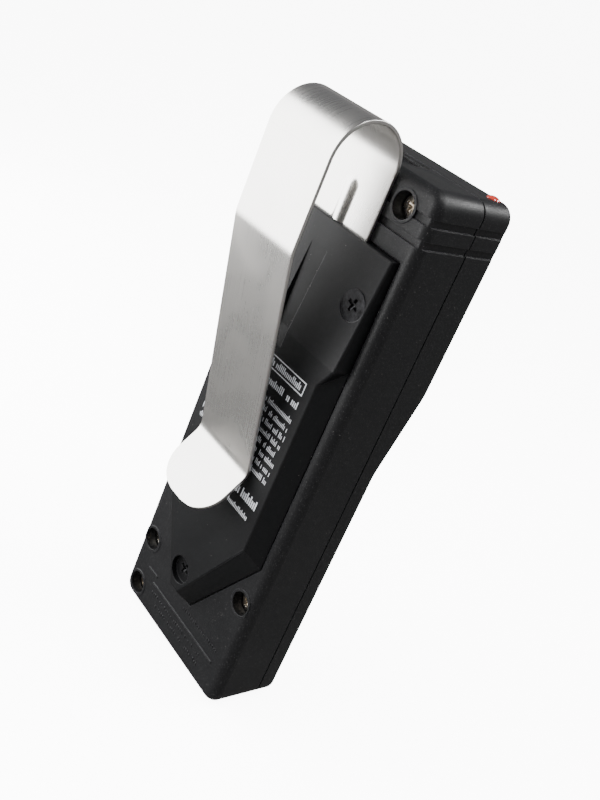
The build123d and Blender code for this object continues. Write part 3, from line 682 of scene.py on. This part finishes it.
@dataclass(frozen=True)
class Board:
    """Solder mask over copper tracks, with bare glass weave showing through."""

    name: str
    mask: Colour
    track: Colour

    def build(self) -> bpy.types.Material:
        """Makes the material.

        Returns:
            Green mask, lighter over a maze of tracks, with a fine weave in the bump.
        """
        material, make, shader = new_material(self.name)
        place = make.add("ShaderNodeTexCoord").outputs["Object"]
        cells = make.add("ShaderNodeTexVoronoi", distance="CHEBYCHEV", feature="F2", in_Scale=420.0)
        make.link(place, cells.inputs["Vector"])
        maze = make.math("SINE", make.math("MULTIPLY", cells.outputs["Distance"], 18.0))
        tracks = make.ramp(maze, 0.55, 0.7)
        make.link(make.mix(tracks, self.mask, self.track), shader.inputs["Base Color"])
        make.link(make.ramp(tracks, 0.0, 1.0, 0.42, 0.30), shader.inputs["Roughness"])
        weave = make.add("ShaderNodeTexChecker", in_Scale=3600.0)
        make.link(place, weave.inputs["Vector"])
        bump = make.add("ShaderNodeBump", in_Distance=0.01 * MM, in_Strength=0.5)
        height = make.math("ADD", weave.outputs["Fac"], make.math("MULTIPLY", tracks, 3.0))
        make.link(height, bump.inputs["Height"])
        make.link(bump.outputs["Normal"], shader.inputs["Normal"])
        return material


@dataclass(frozen=True)
class SoftFoam:
    """Closed-cell foam, with painted shade in its cell pits."""

    name: str
    colour: Colour
    pore_shade: Colour

    def build(self) -> bpy.types.Material:
        """Makes the material.

        Returns:
            Grey foam whose cell pits are coloured darker as painted shade.
        """
        material, make, shader = new_material(self.name)
        place = make.add("ShaderNodeTexCoord").outputs["Object"]
        cells = make.add("ShaderNodeTexVoronoi", in_Scale=1600.0)
        make.link(place, cells.inputs["Vector"])
        pit = make.ramp(cells.outputs["Distance"], 0.45, 0.1)
        # painted shade: the cell pits are mixed towards the darker pore colour
        make.link(make.mix(pit, self.colour, self.pore_shade), shader.inputs["Base Color"])
        make.link(make.ramp(pit, 0.0, 1.0, 0.85, 0.95), shader.inputs["Roughness"])
        bump = make.add("ShaderNodeBump", in_Distance=0.12 * MM, in_Strength=1.0)
        make.link(cells.outputs["Distance"], bump.inputs["Height"])
        make.link(bump.outputs["Normal"], shader.inputs["Normal"])
        return material


FINISHES = {
    "case_plastic": MouldedPlastic("case_plastic", (0.0035, 0.0036, 0.0042), (0.022, 0.023, 0.026), 0.48,
                                   speck=0.6, grain_depth=0.022 * MM, specular=0.24),
    "plate_plastic": MouldedPlastic("plate_plastic", (0.0034, 0.0035, 0.0039), (0.026, 0.027, 0.030), 0.50,
                                    grain_scale=4200.0, grain_depth=0.010 * MM, speck=0.15, specular=0.14),
    "print_ink": PrintedInk("print_ink", (0.40, 0.41, 0.43), (0.07, 0.07, 0.08)),
    "clip_steel": BrushedSteel("clip_steel", (0.66, 0.65, 0.63), 0.27),
    "screw_brass": PlatedMetal("screw_brass", (0.72, 0.69, 0.63), (0.24, 0.19, 0.13), 0.22),
    "screw_black": PlatedMetal("screw_black", (0.030, 0.030, 0.032), (0.012, 0.012, 0.012), 0.42, 900.0),
    "button_plastic": MouldedPlastic("button_plastic", (0.055, 0.058, 0.062), (0.12, 0.12, 0.125), 0.48,
                                     grain_scale=3200.0, grain_depth=0.014 * MM, speck=0.3),
    "plunger_plastic": MouldedPlastic("plunger_plastic", (0.72, 0.70, 0.64), (0.80, 0.78, 0.74), 0.40,
                                      dust=0.1),
    "lens_red": ClearRed("lens_red", (0.62, 0.05, 0.03), (0.30, 0.012, 0.01)),
    "board_green": Board("board_green", (0.012, 0.085, 0.035), (0.03, 0.17, 0.07)),
    "chip_black": MouldedPlastic("chip_black", (0.018, 0.018, 0.018), (0.05, 0.05, 0.05), 0.58,
                                 grain_scale=5200.0, grain_depth=0.012 * MM, dust=0.15),
    "pin_metal": PlatedMetal("pin_metal", (0.78, 0.77, 0.74), (0.48, 0.46, 0.42), 0.22),
    "can_aluminium": PlatedMetal("can_aluminium", (0.80, 0.80, 0.81), (0.55, 0.55, 0.56), 0.28, 300.0),
    "ceramic_tan": MouldedPlastic("ceramic_tan", (0.42, 0.28, 0.15), (0.55, 0.42, 0.28), 0.38, dust=0.1),
    "copper_strip": PlatedMetal("copper_strip", (0.80, 0.42, 0.26), (0.42, 0.24, 0.16), 0.30, 350.0),
    "battery_steel": MouldedPlastic("battery_steel", (0.025, 0.032, 0.075), (0.35, 0.35, 0.36), 0.26, 0.10,
                                    900.0, 0.004 * MM, dust=0.1, specular=0.5),
    "foam_grey": SoftFoam("foam_grey", (0.10, 0.10, 0.105), (0.03, 0.03, 0.03)),
}


class Wardrobe:
    """Builds each finish once and dresses pieces and nodes with it."""

    def __init__(self) -> None:
        """Starts with no finish built."""
        self._made: dict[str, bpy.types.Material] = {}

    def material(self, slot: str) -> bpy.types.Material:
        """The material of a slot, built on first use."""
        if slot not in self._made:
            self._made[slot] = FINISHES[slot].build()
        return self._made[slot]

    def dress(self, piece: bpy.types.Object, slot: str) -> None:
        """Gives a piece one finish all over."""
        piece.data.materials.clear()
        piece.data.materials.append(self.material(slot))

    def dress_nodes(self, kept: dict[str, bpy.types.Object]) -> None:
        """Gives every design node the finish of its slot in the record.

        Args:
            kept: the design's nodes by name.
        """
        slots = {row["node"]: row["material_slot"] for row in frame["record"]["subparts"]}
        for name, node in kept.items():
            self.dress(node, slots[name])
            LOG.info("node %s wears %s", name, slots[name])


def place_piece(piece: bpy.types.Object, wardrobe: Wardrobe, slot: str, body: str, *nodes: str) -> None:
    """Dresses a new piece, makes it ride on a body, and hides the nodes it stands for.

    Args:
        piece: the new piece.
        wardrobe: where finishes come from.
        slot: the record's material slot.
        body: the design's body that the piece moves with.
        nodes: the design's nodes that it replaces.
    """
    wardrobe.dress(piece, slot)
    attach(piece, body)
    if nodes:
        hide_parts(*nodes)
    LOG.info("piece %s rides on %s, %d faces", piece.name, body, len(piece.data.polygons))


# ------------------------------------------------------------------ the visor clip
@dataclass
class VisorClip:
    """One bent strip of spring steel: fixed leg with its bead, bend, outer leg, slanting leg and tongue."""

    thick: float = 0.8 * MM
    edge_radius: float = 0.16 * MM
    outer_leg: float = 18.0 * MM
    knee_bend: float = 9.0 * MM
    grip_bend: float = 4.0 * MM
    tongue: float = 13.9 * MM
    tongue_angle: float = math.radians(36.5)
    tongue_corner: float = 7.5 * MM
    bead_width: float = 3.5 * MM
    bead_height: float = 0.6 * MM
    bead_foot: float = 1.0 * MM
    bead_drop: float = 13.3 * MM
    across: int = 56
    step: float = 0.5 * MM

    def __post_init__(self) -> None:
        """Reads the strip's place from the frame."""
        base_low, base_high = edge_of("visor_clip_base", Side.LOW), edge_of("visor_clip_base", Side.HIGH)
        arm_low, arm_high = edge_of("visor_clip_arm", Side.LOW), edge_of("visor_clip_arm", Side.HIGH)
        self.half = float(base_high[0])
        self.back = float(base_low[1]) + self.thick / 2
        self.foot = float(base_low[2])
        self.outer = float(arm_high[1]) - self.thick / 2
        self.radius = (self.outer - self.back) / 2
        self.centre = self.back + self.radius
        self.spring = float(base_high[2]) - self.thick / 2 - self.radius
        self.top = float(base_high[2])
        self.grip_y = float(arm_low[1]) + self.thick / 2
        lowest = float(arm_low[2]) + self.thick / 2 * math.sin(self.tongue_angle)
        self.grip_z = lowest + self.tongue * math.cos(self.tongue_angle)

    def _profile(self) -> tuple[np.ndarray, np.ndarray, np.ndarray]:
        """Cross-section of the strip.

        A rectangle whose corners are quarter circles: from the middle of the inner face round the section.

        Returns:
            Share of the half width, distance in from the strip's side, and height over the centre line.
        """
        quarter = np.linspace(0.0, math.pi / 2, 5)
        flat = self.thick / 2 - self.edge_radius
        inward = self.edge_radius * (1 - np.sin(quarter))
        rise = flat + self.edge_radius * np.cos(quarter)
        span = 1 - self.edge_radius / self.half
        columns = np.sin(np.linspace(-math.pi / 2, math.pi / 2, self.across)) * 0.35
        columns = (columns + np.linspace(-1, 1, self.across) * 0.65) * span
        inner = np.stack([columns, np.zeros_like(columns), np.full_like(columns, self.thick / 2)])
        right = np.stack([np.ones(4), inward[1:], rise[1:]])
        right_low = np.stack([np.ones(4), inward[::-1][:-1], -rise[::-1][:-1]])
        left_high = right[:, ::-1] * np.array([[-1], [1], [1]])
        outer = inner[:, ::-1] * np.array([[1], [1], [-1]])
        left = np.stack([-right_low[0][::-1], right_low[1][::-1], right_low[2][::-1]])
        whole = np.concatenate([inner, right, right_low, outer, left, left_high], axis=1)
        return whole[0], whole[1], whole[2]

    def _strip(self, name: str, route: np.ndarray, rounded_end: bool, beaded: bool,
               start: float) -> bpy.types.Object:
        """Carries the cross-section along a route in the (y, z) plane.

        A point is the route's point plus the section's height times the route's unit normal; the section's
        sides follow the half width, which narrows by a quarter circle at a rounded end.

        Args:
            name: the piece's name.
            route: array (n, 2) of the centre line's y and z.
            rounded_end: whether the last stretch has rounded corners.
            beaded: whether the outer face carries the pressed bead.
            start: length of strip before this route, so that the brushing runs on.

        Returns:
            The piece.
        """
        tangent = np.gradient(route, axis=0)
        tangent /= np.linalg.norm(tangent, axis=1)[:, None]
        normal = np.stack([tangent[:, 1], -tangent[:, 0]], axis=1)
        length = np.concatenate([[0.0], np.cumsum(np.linalg.norm(np.diff(route, axis=0), axis=1))])
        share, inward, rise = self._profile()
        half = np.full(len(route), self.half)
        if rounded_end:
            left = np.clip(1 - (length[-1] - length) / self.tongue_corner, 0.0, 1.0)
            half = self.half - self.tongue_corner * (1 - np.sqrt(1 - left ** 2))
        x = share[None] * half[:, None] - np.sign(share)[None] * inward[None]
        height = np.broadcast_to(rise, x.shape).copy()
        if beaded:
            height += self._bead(x, route[:, 1][:, None]) * (rise[None] > self.thick / 2 - 1e-9)
        points = np.stack([x, route[:, 0][:, None] + height * normal[:, 0][:, None],
                           route[:, 1][:, None] + height * normal[:, 1][:, None]], axis=-1)
        ends = points.mean(axis=1, keepdims=True)
        lid = np.broadcast_to(ends[[0, -1]], (2, points.shape[1], 3))
        points = np.concatenate([lid[:1], points, lid[1:]], axis=0)
        along = np.concatenate([[length[0]], length, [length[-1]]]) + start
        _, quads = unwrap_grid(points, closed=True)
        wide = np.concatenate([x[:1], x, x[-1:]])
        uv = np.stack([wide, np.broadcast_to(along[:, None], wide.shape)], axis=-1).reshape(-1, 2)
        return make_mesh(name, points.reshape(-1, 3), quads, uv)

    def _bead(self, x: np.ndarray, z: np.ndarray) -> np.ndarray:
        """Height of the pressed bead.

        With d the distance from the bead's centre line, as a share of its half width, the height is the
        bead's height times 1 - d squared.

        Args:
            x: place across the strip.
            z: place along the leg.

        Returns:
            The height, zero off the bead.
        """
        reach = self.bead_width / 2
        low = self.foot + self.bead_foot + reach
        high = self.top - self.bead_drop - reach
        beyond = np.maximum(np.maximum(low - z, z - high), 0.0)
        share = np.sqrt(x ** 2 + beyond ** 2) / reach
        return self.bead_height * np.clip(1 - share ** 2, 0.0, 1.0)

    def build(self, wardrobe: Wardrobe) -> None:
        """Makes the three stretches of the strip and joins the fixed and the sprung leg to their bodies; the
        bend has its place baked in.

        Args:
            wardrobe: where finishes come from.
        """
        leg = bent_route(np.array([[self.back, self.foot], [self.back, self.spring]]), [], self.step / 2)
        turn = np.linspace(math.pi, 0.0, 72)
        bend = np.stack([self.centre + self.radius * np.cos(turn),
                         self.spring + self.radius * np.sin(turn)], axis=1)
        slope = np.array([math.sin(self.tongue_angle), -math.cos(self.tongue_angle)])
        grip = np.array([self.grip_y, self.grip_z])
        corners = np.array([[self.outer, self.spring], [self.outer, self.spring - self.outer_leg],
                            grip, grip + slope * self.tongue])
        arm = bent_route(corners, [self.knee_bend, self.grip_bend], self.step)
        before = self.spring - self.foot
        fixed = self._strip("clip_fixed_leg", leg, False, True, 0.0)
        loop = self._strip("clip_bend", bend, False, False, before)
        sprung = self._strip("clip_sprung_leg", arm, True, False, before + math.pi * self.radius)
        place_piece(fixed, wardrobe, "clip_steel", "root", "visor_clip_base")
        place_piece(sprung, wardrobe, "clip_steel", "clip_arm", "visor_clip_arm")
        wardrobe.dress(loop, "clip_steel")
        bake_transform(loop)
        LOG.info("piece %s bends between root and clip_arm", loop.name)


# ------------------------------------------------------------------ screws
@dataclass
class CrossScrew:
    """One cross-head screw along Y, with a domed or a countersunk head and a threaded shank."""

    head: float
    head_height: float
    shank: float
    length: float
    countersunk: bool
    dome: float = 0.35 * MM
    recess_arm: float = 0.34 * MM
    recess_span: float = 1.45 * MM
    recess_depth: float = 0.95 * MM
    pitch: float = 1.0 * MM
    thread: float = 0.14 * MM
    turn: float = math.radians(20.0)
    around: int = 88

    def _meridian(self) -> tuple[np.ndarray, np.ndarray]:
        """Half-section of the screw, from the top's middle to the point.

        Returns:
            Radius and depth under the head's top, in metres.
        """
        top_r = np.linspace(0.0, self.head, 40)
        crown = 0.06 * MM if self.countersunk else self.dome
        top_y = -crown * (top_r / self.head) ** (2.0 if self.countersunk else 3.0)
        under = crown + (0.15 * MM if self.countersunk else self.head_height - crown)
        lip_r = np.array([self.head, self.head])
        lip_y = -np.array([crown + 0.04 * MM, under])
        root_y = -self.head_height
        shank_y = np.linspace(root_y, -self.length, 90)
        shank_r = np.full(90, self.shank)
        taper = smooth_step(-self.length, -self.length + 1.2 * MM, shank_y)
        radius = np.concatenate([top_r, lip_r, shank_r * (0.25 + 0.75 * taper), [0.0]])
        return radius, np.concatenate([top_y, lip_y, shank_y, [-self.length]])

    def mesh(self, place: np.ndarray) -> tuple[np.ndarray, np.ndarray]:
        """Turns the half-section round the screw's axis, cuts the cross and raises the thread.

        The cross is the least distance to two crossed bars, eased over a tenth of a millimetre. The thread
        takes a share of the shank's radius away by a cosine of the depth over the pitch less the angle.

        Args:
            place: the middle of the head's top.

        Returns:
            The vertices and quads.
        """
        radius, depth = self._meridian()
        angle = np.linspace(0.0, 2 * math.pi, self.around, endpoint=False)
        r = np.repeat(radius[:, None], self.around, axis=1)
        y = np.repeat(depth[:, None], self.around, axis=1)
        on_shank = (depth < -self.head_height - 0.3 * MM)[:, None] & (radius > 0)[:, None]
        wave = 0.5 - 0.5 * np.cos(2 * math.pi * y / self.pitch - angle[None])
        r = r - np.where(on_shank, self.thread * wave * r / self.shank, 0.0)
        x = r * np.cos(angle)
        z = r * np.sin(angle)
        a = x * math.cos(self.turn) + z * math.sin(self.turn)
        b = z * math.cos(self.turn) - x * math.sin(self.turn)
        arm = self.recess_arm
        one = np.maximum(np.abs(a) - self.recess_span, np.abs(b) - arm)
        two = np.maximum(np.abs(b) - self.recess_span, np.abs(a) - arm)
        cut = 1 - smooth_step(-0.10 * MM, 0.04 * MM, np.minimum(one, two))
        floor = self.recess_depth * (1 - 0.55 * np.clip(np.hypot(a, b) / self.recess_span, 0, 1))
        top = np.arange(len(radius))[:, None] < 40
        y = y - np.where(top, cut * floor, 0.0)
        points = np.stack([x, y, z], axis=-1) + place
        _, quads = unwrap_grid(points, closed=True)
        return points.reshape(-1, 3), quads


@dataclass
class ScrewSets:
    """The case screws deep in their tubes and the black screws of the clip plate."""

    case_screw: CrossScrew
    plate_screw: CrossScrew

    @staticmethod
    def places(node: str, reach: float) -> list[np.ndarray]:
        """Middles of the heads' tops, found from the loose solids of a node.

        The node's vertices near the highest y of each cluster are averaged; clusters are told apart by
        their distance in x and z.

        Args:
            node: the design's node with several screws.
            reach: two vertices closer than this belong to one screw.

        Returns:
            One place for each screw.
        """
        mesh = frame["nodes"][node].data
        co = np.empty(len(mesh.vertices) * 3, dtype=np.float32)
        mesh.vertices.foreach_get("co", co)
        co = co.reshape(-1, 3).astype(float)
        left = co[co[:, 1] > co[:, 1].max() - 0.1 * MM]
        found = []
        while len(left):
            mine = np.hypot(left[:, 0] - left[0, 0], left[:, 2] - left[0, 2]) < reach
            group = left[mine]
            middle = (group.min(axis=0) + group.max(axis=0)) / 2
            found.append(np.array([middle[0], co[:, 1].max(), middle[2]]))
            left = left[~mine]
        return found

    def build(self, wardrobe: Wardrobe) -> None:
        """Makes both sets and puts them where the design has them.

        Args:
            wardrobe: where finishes come from.
        """
        for node, kind, slot in (("case_screws", self.case_screw, "screw_brass"),
                                 ("plate_screws", self.plate_screw, "screw_black")):
            spots = self.places(node, 2.2 * kind.head)
            piece = make_mesh(f"{node}_turned", *stack([kind.mesh(spot) for spot in spots]))
            place_piece(piece, wardrobe, slot, "root", node)


# ------------------------------------------------------------------ print and raised marks
@dataclass
class PrintedPanel:
    """Pad-printed panel on the plate: an empty frame and rows of plain strokes, with no lettering."""

    raise_by: float = 0.03 * MM
    margin: float = 0.9 * MM
    frame_height: float = 3.0 * MM
    frame_line: float = 0.28 * MM
    stroke: float = 0.20 * MM
    gap: float = 0.22 * MM

    def __post_init__(self) -> None:
        """Reads the panel's place from the frame."""
        low, high = edge_of("label_print", Side.LOW), edge_of("label_print", Side.HIGH)
        self.face = float(low[1])
        self.half = float(high[0]) - self.margin
        self.top = float(high[2])
        self.random = np.random.default_rng(41)

    def _row(self, z: float, height: float, stroke: float, words: float, left: float,
             right: float) -> tuple[np.ndarray, np.ndarray, np.ndarray, np.ndarray]:
        """One row of upright strokes, broken into words.

        Strokes stand at an even pitch, each a little uneven in height; a word gap drops some of them.

        Args:
            z: the row's base line.
            height: the tallest stroke.
            stroke: the stroke's width.
            words: share of strokes dropped at word gaps.
            left, right: the row's ends along x, left being the greater.

        Returns:
            The strokes' sides x0, x1, z0, z1.
        """
        pitch = stroke + self.gap
        count = int((left - right) / pitch)
        x0 = right + np.arange(count) * pitch
        keep = self.random.random(count) > words
        tall = height * self.random.choice([0.68, 0.72, 1.0], count)
        return x0[keep], x0[keep] + stroke, np.full(keep.sum(), z), z + tall[keep]

    def build(self, wardrobe: Wardrobe) -> None:
        """Makes the frame and all the rows as one thin raised piece.

        Args:
            wardrobe: where finishes come from.
        """
        half, line = self.half, self.frame_line
        top, foot = self.top, self.top - self.frame_height
        sides = [np.array([[-half, half, top - line, top], [-half, half, foot, foot + line],
                           [-half, -half + line, foot + line, top - line],
                           [half - line, half, foot + line, top - line]]).T]
        rows = [(foot + 0.7 * MM, 1.6 * MM, 0.30 * MM, 0.12, half - 1 * MM, -half + 1.2 * MM),
                (top - 6.1 * MM, 1.7 * MM, 0.34 * MM, 0.14, half - 5 * MM, -half)]
        sides += [np.array(self._row(*row)) for row in rows]
        for i in range(8):
            uneven = self.random.random() * 1.2 * MM
            z = top - 9.5 * MM - i * 2.15 * MM
            end = -half - 0.6 * MM + uneven
            sides.append(np.array(self._row(z, 1.35 * MM, self.stroke, 0.17, half, end)))
        rows = [(top - 31.2 * MM, 2.3 * MM, 0.42 * MM, 0.10, half - 6 * MM, -half - 0.6 * MM),
                (top - 34.6 * MM, 1.3 * MM, 0.26 * MM, 0.12, half - 10 * MM, -half + 0.6 * MM)]
        sides += [np.array(self._row(*row)) for row in rows]
        x0, x1, z0, z1 = np.concatenate(sides, axis=1)
        solid = slab_boxes(x0, x1, z0, z1, self.face - 0.02 * MM, self.face + self.raise_by, 0.02 * MM)
        piece = make_mesh("printed_panel", *solid, smooth=False)
        place_piece(piece, wardrobe, "print_ink", "root", "label_print")


@dataclass
class RaisedMarks:
    """Rows of small raised dashes moulded low on the back, above and below the raised rule."""

    proud: float = 0.12 * MM
    dash: float = 0.5 * MM
    tall: float = 0.9 * MM
    line: float = 0.26 * MM

    def build(self, wardrobe: Wardrobe) -> None:
        """Makes the rows as one piece on the back face.

        Args:
            wardrobe: where finishes come from.
        """
        face = float(edge_of("visor_clip_base", Side.LOW)[1])
        random = np.random.default_rng(7)
        rows = ((12.4, -16.5, -2.0), (6.9, -12.0, 10.5), (4.6, -12.5, 9.5))
        sides = []
        for z, low, high in rows:
            x0 = np.arange(low * MM, high * MM, self.dash + self.line)
            x0 = x0[random.random(len(x0)) > 0.22]
            tall = self.tall * random.choice([0.7, 1.0], len(x0))
            sides.append(np.stack([x0, x0 + self.dash, np.full(len(x0), z * MM), z * MM + tall]))
        x0, x1, z0, z1 = np.concatenate(sides, axis=1)
        solid = slab_boxes(x0, x1, z0, z1, face - 0.05 * MM, face + self.proud, 0.1 * MM)
        place_piece(make_mesh("raised_marks", *solid, smooth=False), wardrobe, "case_plastic", "root")


# ------------------------------------------------------------------ indicator
@dataclass
class IndicatorLens:
    """Round light pipe with a domed end that stands a little out of the top of the case."""

    around: int = 48
    collar: float = 0.12 * MM

    def build(self, wardrobe: Wardrobe) -> None:
        """Turns a half-section with a collar and an elliptic dome round the pipe's axis.

        Args:
            wardrobe: where finishes come from.
        """
        low, high = edge_of("indicator_lens", Side.LOW), edge_of("indicator_lens", Side.HIGH)
        centre = (low + high) / 2
        radius = (high[0] - low[0]) / 2
        lift = np.linspace(0.0, math.pi / 2, 14)
        dome_r, dome_z = radius * np.cos(lift), high[2] - 0.9 * MM + 0.9 * MM * np.sin(lift)
        wall_z = np.array([low[2], low[2], low[2] + 1.2 * MM, low[2] + 1.4 * MM])
        wall_r = np.array([0.0, radius - self.collar, radius - self.collar, radius])
        r = np.concatenate([wall_r, dome_r])[:, None]
        z = np.concatenate([wall_z, dome_z])[:, None]
        angle = np.linspace(0.0, 2 * math.pi, self.around, endpoint=False)[None]
        points = np.stack([centre[0] + r * np.cos(angle), centre[1] + r * np.sin(angle),
                           np.broadcast_to(z, (len(r), self.around))], axis=-1)
        _, quads = unwrap_grid(points, closed=True)
        piece = make_mesh("indicator_dome", points.reshape(-1, 3), quads)
        place_piece(piece, wardrobe, "lens_red", "root", "indicator_lens")


# ------------------------------------------------------------------ studio
@dataclass
class Studio:
    """Pale floor, soft lights and the camera."""

    eye: tuple[float, float, float] = (-0.13347, 0.14402, 0.15716)
    right: tuple[float, float, float] = (-0.5658, -0.7399, 0.3638)
    up: tuple[float, float, float] = (0.5441, -0.0036, 0.8390)
    lens: float = 44.04
    floor_lift: float = 9.0
    floor_mirrored: Colour = (0.34, 0.335, 0.33)

    def camera(self) -> None:
        """Puts the camera at its eye with its own right and up directions."""
        data = bpy.data.cameras.new("camera")
        data.lens = self.lens
        data.clip_start = 0.01
        camera = bpy.data.objects.new("camera", data)
        bpy.context.scene.collection.objects.link(camera)
        right, up = Vector(self.right).normalized(), Vector(self.up).normalized()
        back = right.cross(up).normalized()
        up = back.cross(right)
        turn = Matrix((right, up, back)).transposed().to_4x4()
        camera.matrix_world = Matrix.Translation(self.eye) @ turn
        bpy.context.scene.camera = camera

    def floor(self) -> None:
        """Wide floor that curves up at its rim: height grows with the fourth power of the distance."""
        reach, count = 2.4, 72
        radius = np.linspace(0.0, reach, count)[:, None]
        angle = np.linspace(0.0, 2 * math.pi, 96, endpoint=False)[None]
        height = 0.9 * (radius / reach) ** 4 + 0 * angle - 0.0004
        points = np.stack([radius * np.cos(angle), radius * np.sin(angle), height], axis=-1)
        _, quads = unwrap_grid(points, closed=True)
        floor = make_mesh("floor", points.reshape(-1, 3), quads[:, ::-1])
        material, make, shader = new_material("floor_paper")
        place = make.add("ShaderNodeTexCoord").outputs["Object"]
        tone = make.ramp(make.noise(place, 30.0, 3.0), 0.3, 0.7)
        make.link(make.mix(tone, (0.86, 0.86, 0.86), (0.89, 0.89, 0.89)), shader.inputs["Base Color"])
        shader.inputs["Roughness"].default_value = 0.9
        shader.inputs["Specular IOR Level"].default_value = 0.1
        path = make.add("ShaderNodeLightPath")
        lift = make.add("ShaderNodeEmission")
        lift.inputs["Color"].default_value = (1.0, 1.0, 1.0, 1.0)
        seen = make.math("MULTIPLY", path.outputs["Is Camera Ray"], self.floor_lift)
        make.link(seen, lift.inputs["Strength"])
        bright = make.add("ShaderNodeAddShader")
        make.link(shader.outputs[0], bright.inputs[0])
        make.link(lift.outputs[0], bright.inputs[1])
        dim = make.add("ShaderNodeEmission")
        dim.inputs["Color"].default_value = (*self.floor_mirrored, 1.0)
        choose = make.add("ShaderNodeMixShader")
        make.link(path.outputs["Is Glossy Ray"], choose.inputs[0])
        make.link(bright.outputs[0], choose.inputs[1])
        make.link(dim.outputs[0], choose.inputs[2])
        sheet = material.node_tree.nodes["Material Output"]
        make.link(choose.outputs[0], sheet.inputs["Surface"])
        floor.data.materials.append(material)

    @staticmethod
    def _panel(name: str, place: Vector, target: Vector, size: tuple[float, float], power: float,
               glossy: bool) -> None:
        """A soft rectangular light that faces a target.

        Args:
            name: the light's name.
            place: its middle.
            target: what it faces.
            size: its width and height.
            power: its watts.
            glossy: whether it shows in reflections.
        """
        data = bpy.data.lights.new(name, "AREA")
        data.shape = "RECTANGLE"
        data.size, data.size_y = size
        data.energy = power
        light = bpy.data.objects.new(name, data)
        bpy.context.scene.collection.objects.link(light)
        light.location = place
        light.rotation_mode = "QUATERNION"
        light.rotation_quaternion = (target - place).to_track_quat("-Z", "Y")
        light.visible_camera = False
        light.visible_glossy = glossy

    def lights(self) -> None:
        """Bright panel beside the clip, broad fill from above, and an even pale surround."""
        side = Vector((0.68, 0.73, 0.0)) * 0.24
        middle = Vector((0.0, 0.0, 0.13))
        height = Vector((0.0, 0.0, 0.155))
        self._panel("clip_panel", side + height, height, (0.55, 0.30), 5.0, True)
        self._panel("ceiling", Vector((0.1, 0.1, 1.1)), middle, (1.6, 1.6), 14.0, False)
        self._panel("corner_light", middle + Vector((-0.38, -0.12, 0.89)) * 0.5, middle,
                    (0.14, 0.10), 1.6, True)
        self._panel("groove_light", middle + Vector((-0.38, -0.67, 0.60)) * 0.5, middle,
                    (0.34, 0.06), 2.6, True)
        world = bpy.data.worlds.new("surround")
        world.use_nodes = True
        nodes = Nodes(world.node_tree)
        surround = world.node_tree.nodes["Background"]
        surround.inputs["Color"].default_value = (0.95, 0.96, 1.0, 1.0)
        surround.inputs["Strength"].default_value = 0.20
        seen = nodes.add("ShaderNodeBackground")
        seen.inputs["Color"].default_value = (1.0, 1.0, 1.0, 1.0)
        seen.inputs["Strength"].default_value = self.floor_lift
        mix = nodes.add("ShaderNodeMixShader")
        path = nodes.add("ShaderNodeLightPath")
        nodes.link(path.outputs["Is Camera Ray"], mix.inputs[0])
        nodes.link(surround.outputs[0], mix.inputs[1])
        nodes.link(seen.outputs[0], mix.inputs[2])
        nodes.link(mix.outputs[0], world.node_tree.nodes["World Output"].inputs[0])
        bpy.context.scene.world = world

    def build(self) -> None:
        """Makes the camera, the floor and the lights."""
        self.camera()
        self.floor()
        self.lights()


def main() -> None:
    """Builds the studio, dresses the design's nodes, and makes every finer piece."""
    logging.basicConfig(level=logging.INFO, format="%(name)s: %(message)s")
    Studio().build()
    wardrobe = Wardrobe()
    wardrobe.dress_nodes(frame["nodes"])
    VisorClip().build(wardrobe)
    case_screw = CrossScrew(2.4 * MM, 1.5 * MM, 1.3 * MM, 13.4 * MM, countersunk=False)
    plate_screw = CrossScrew(3.1 * MM, 1.8 * MM, 1.3 * MM, 5.2 * MM, countersunk=True)
    ScrewSets(case_screw, plate_screw).build(wardrobe)
    PrintedPanel().build(wardrobe)
    RaisedMarks().build(wardrobe)
    IndicatorLens().build(wardrobe)


if __name__ == "__main__":
    main()
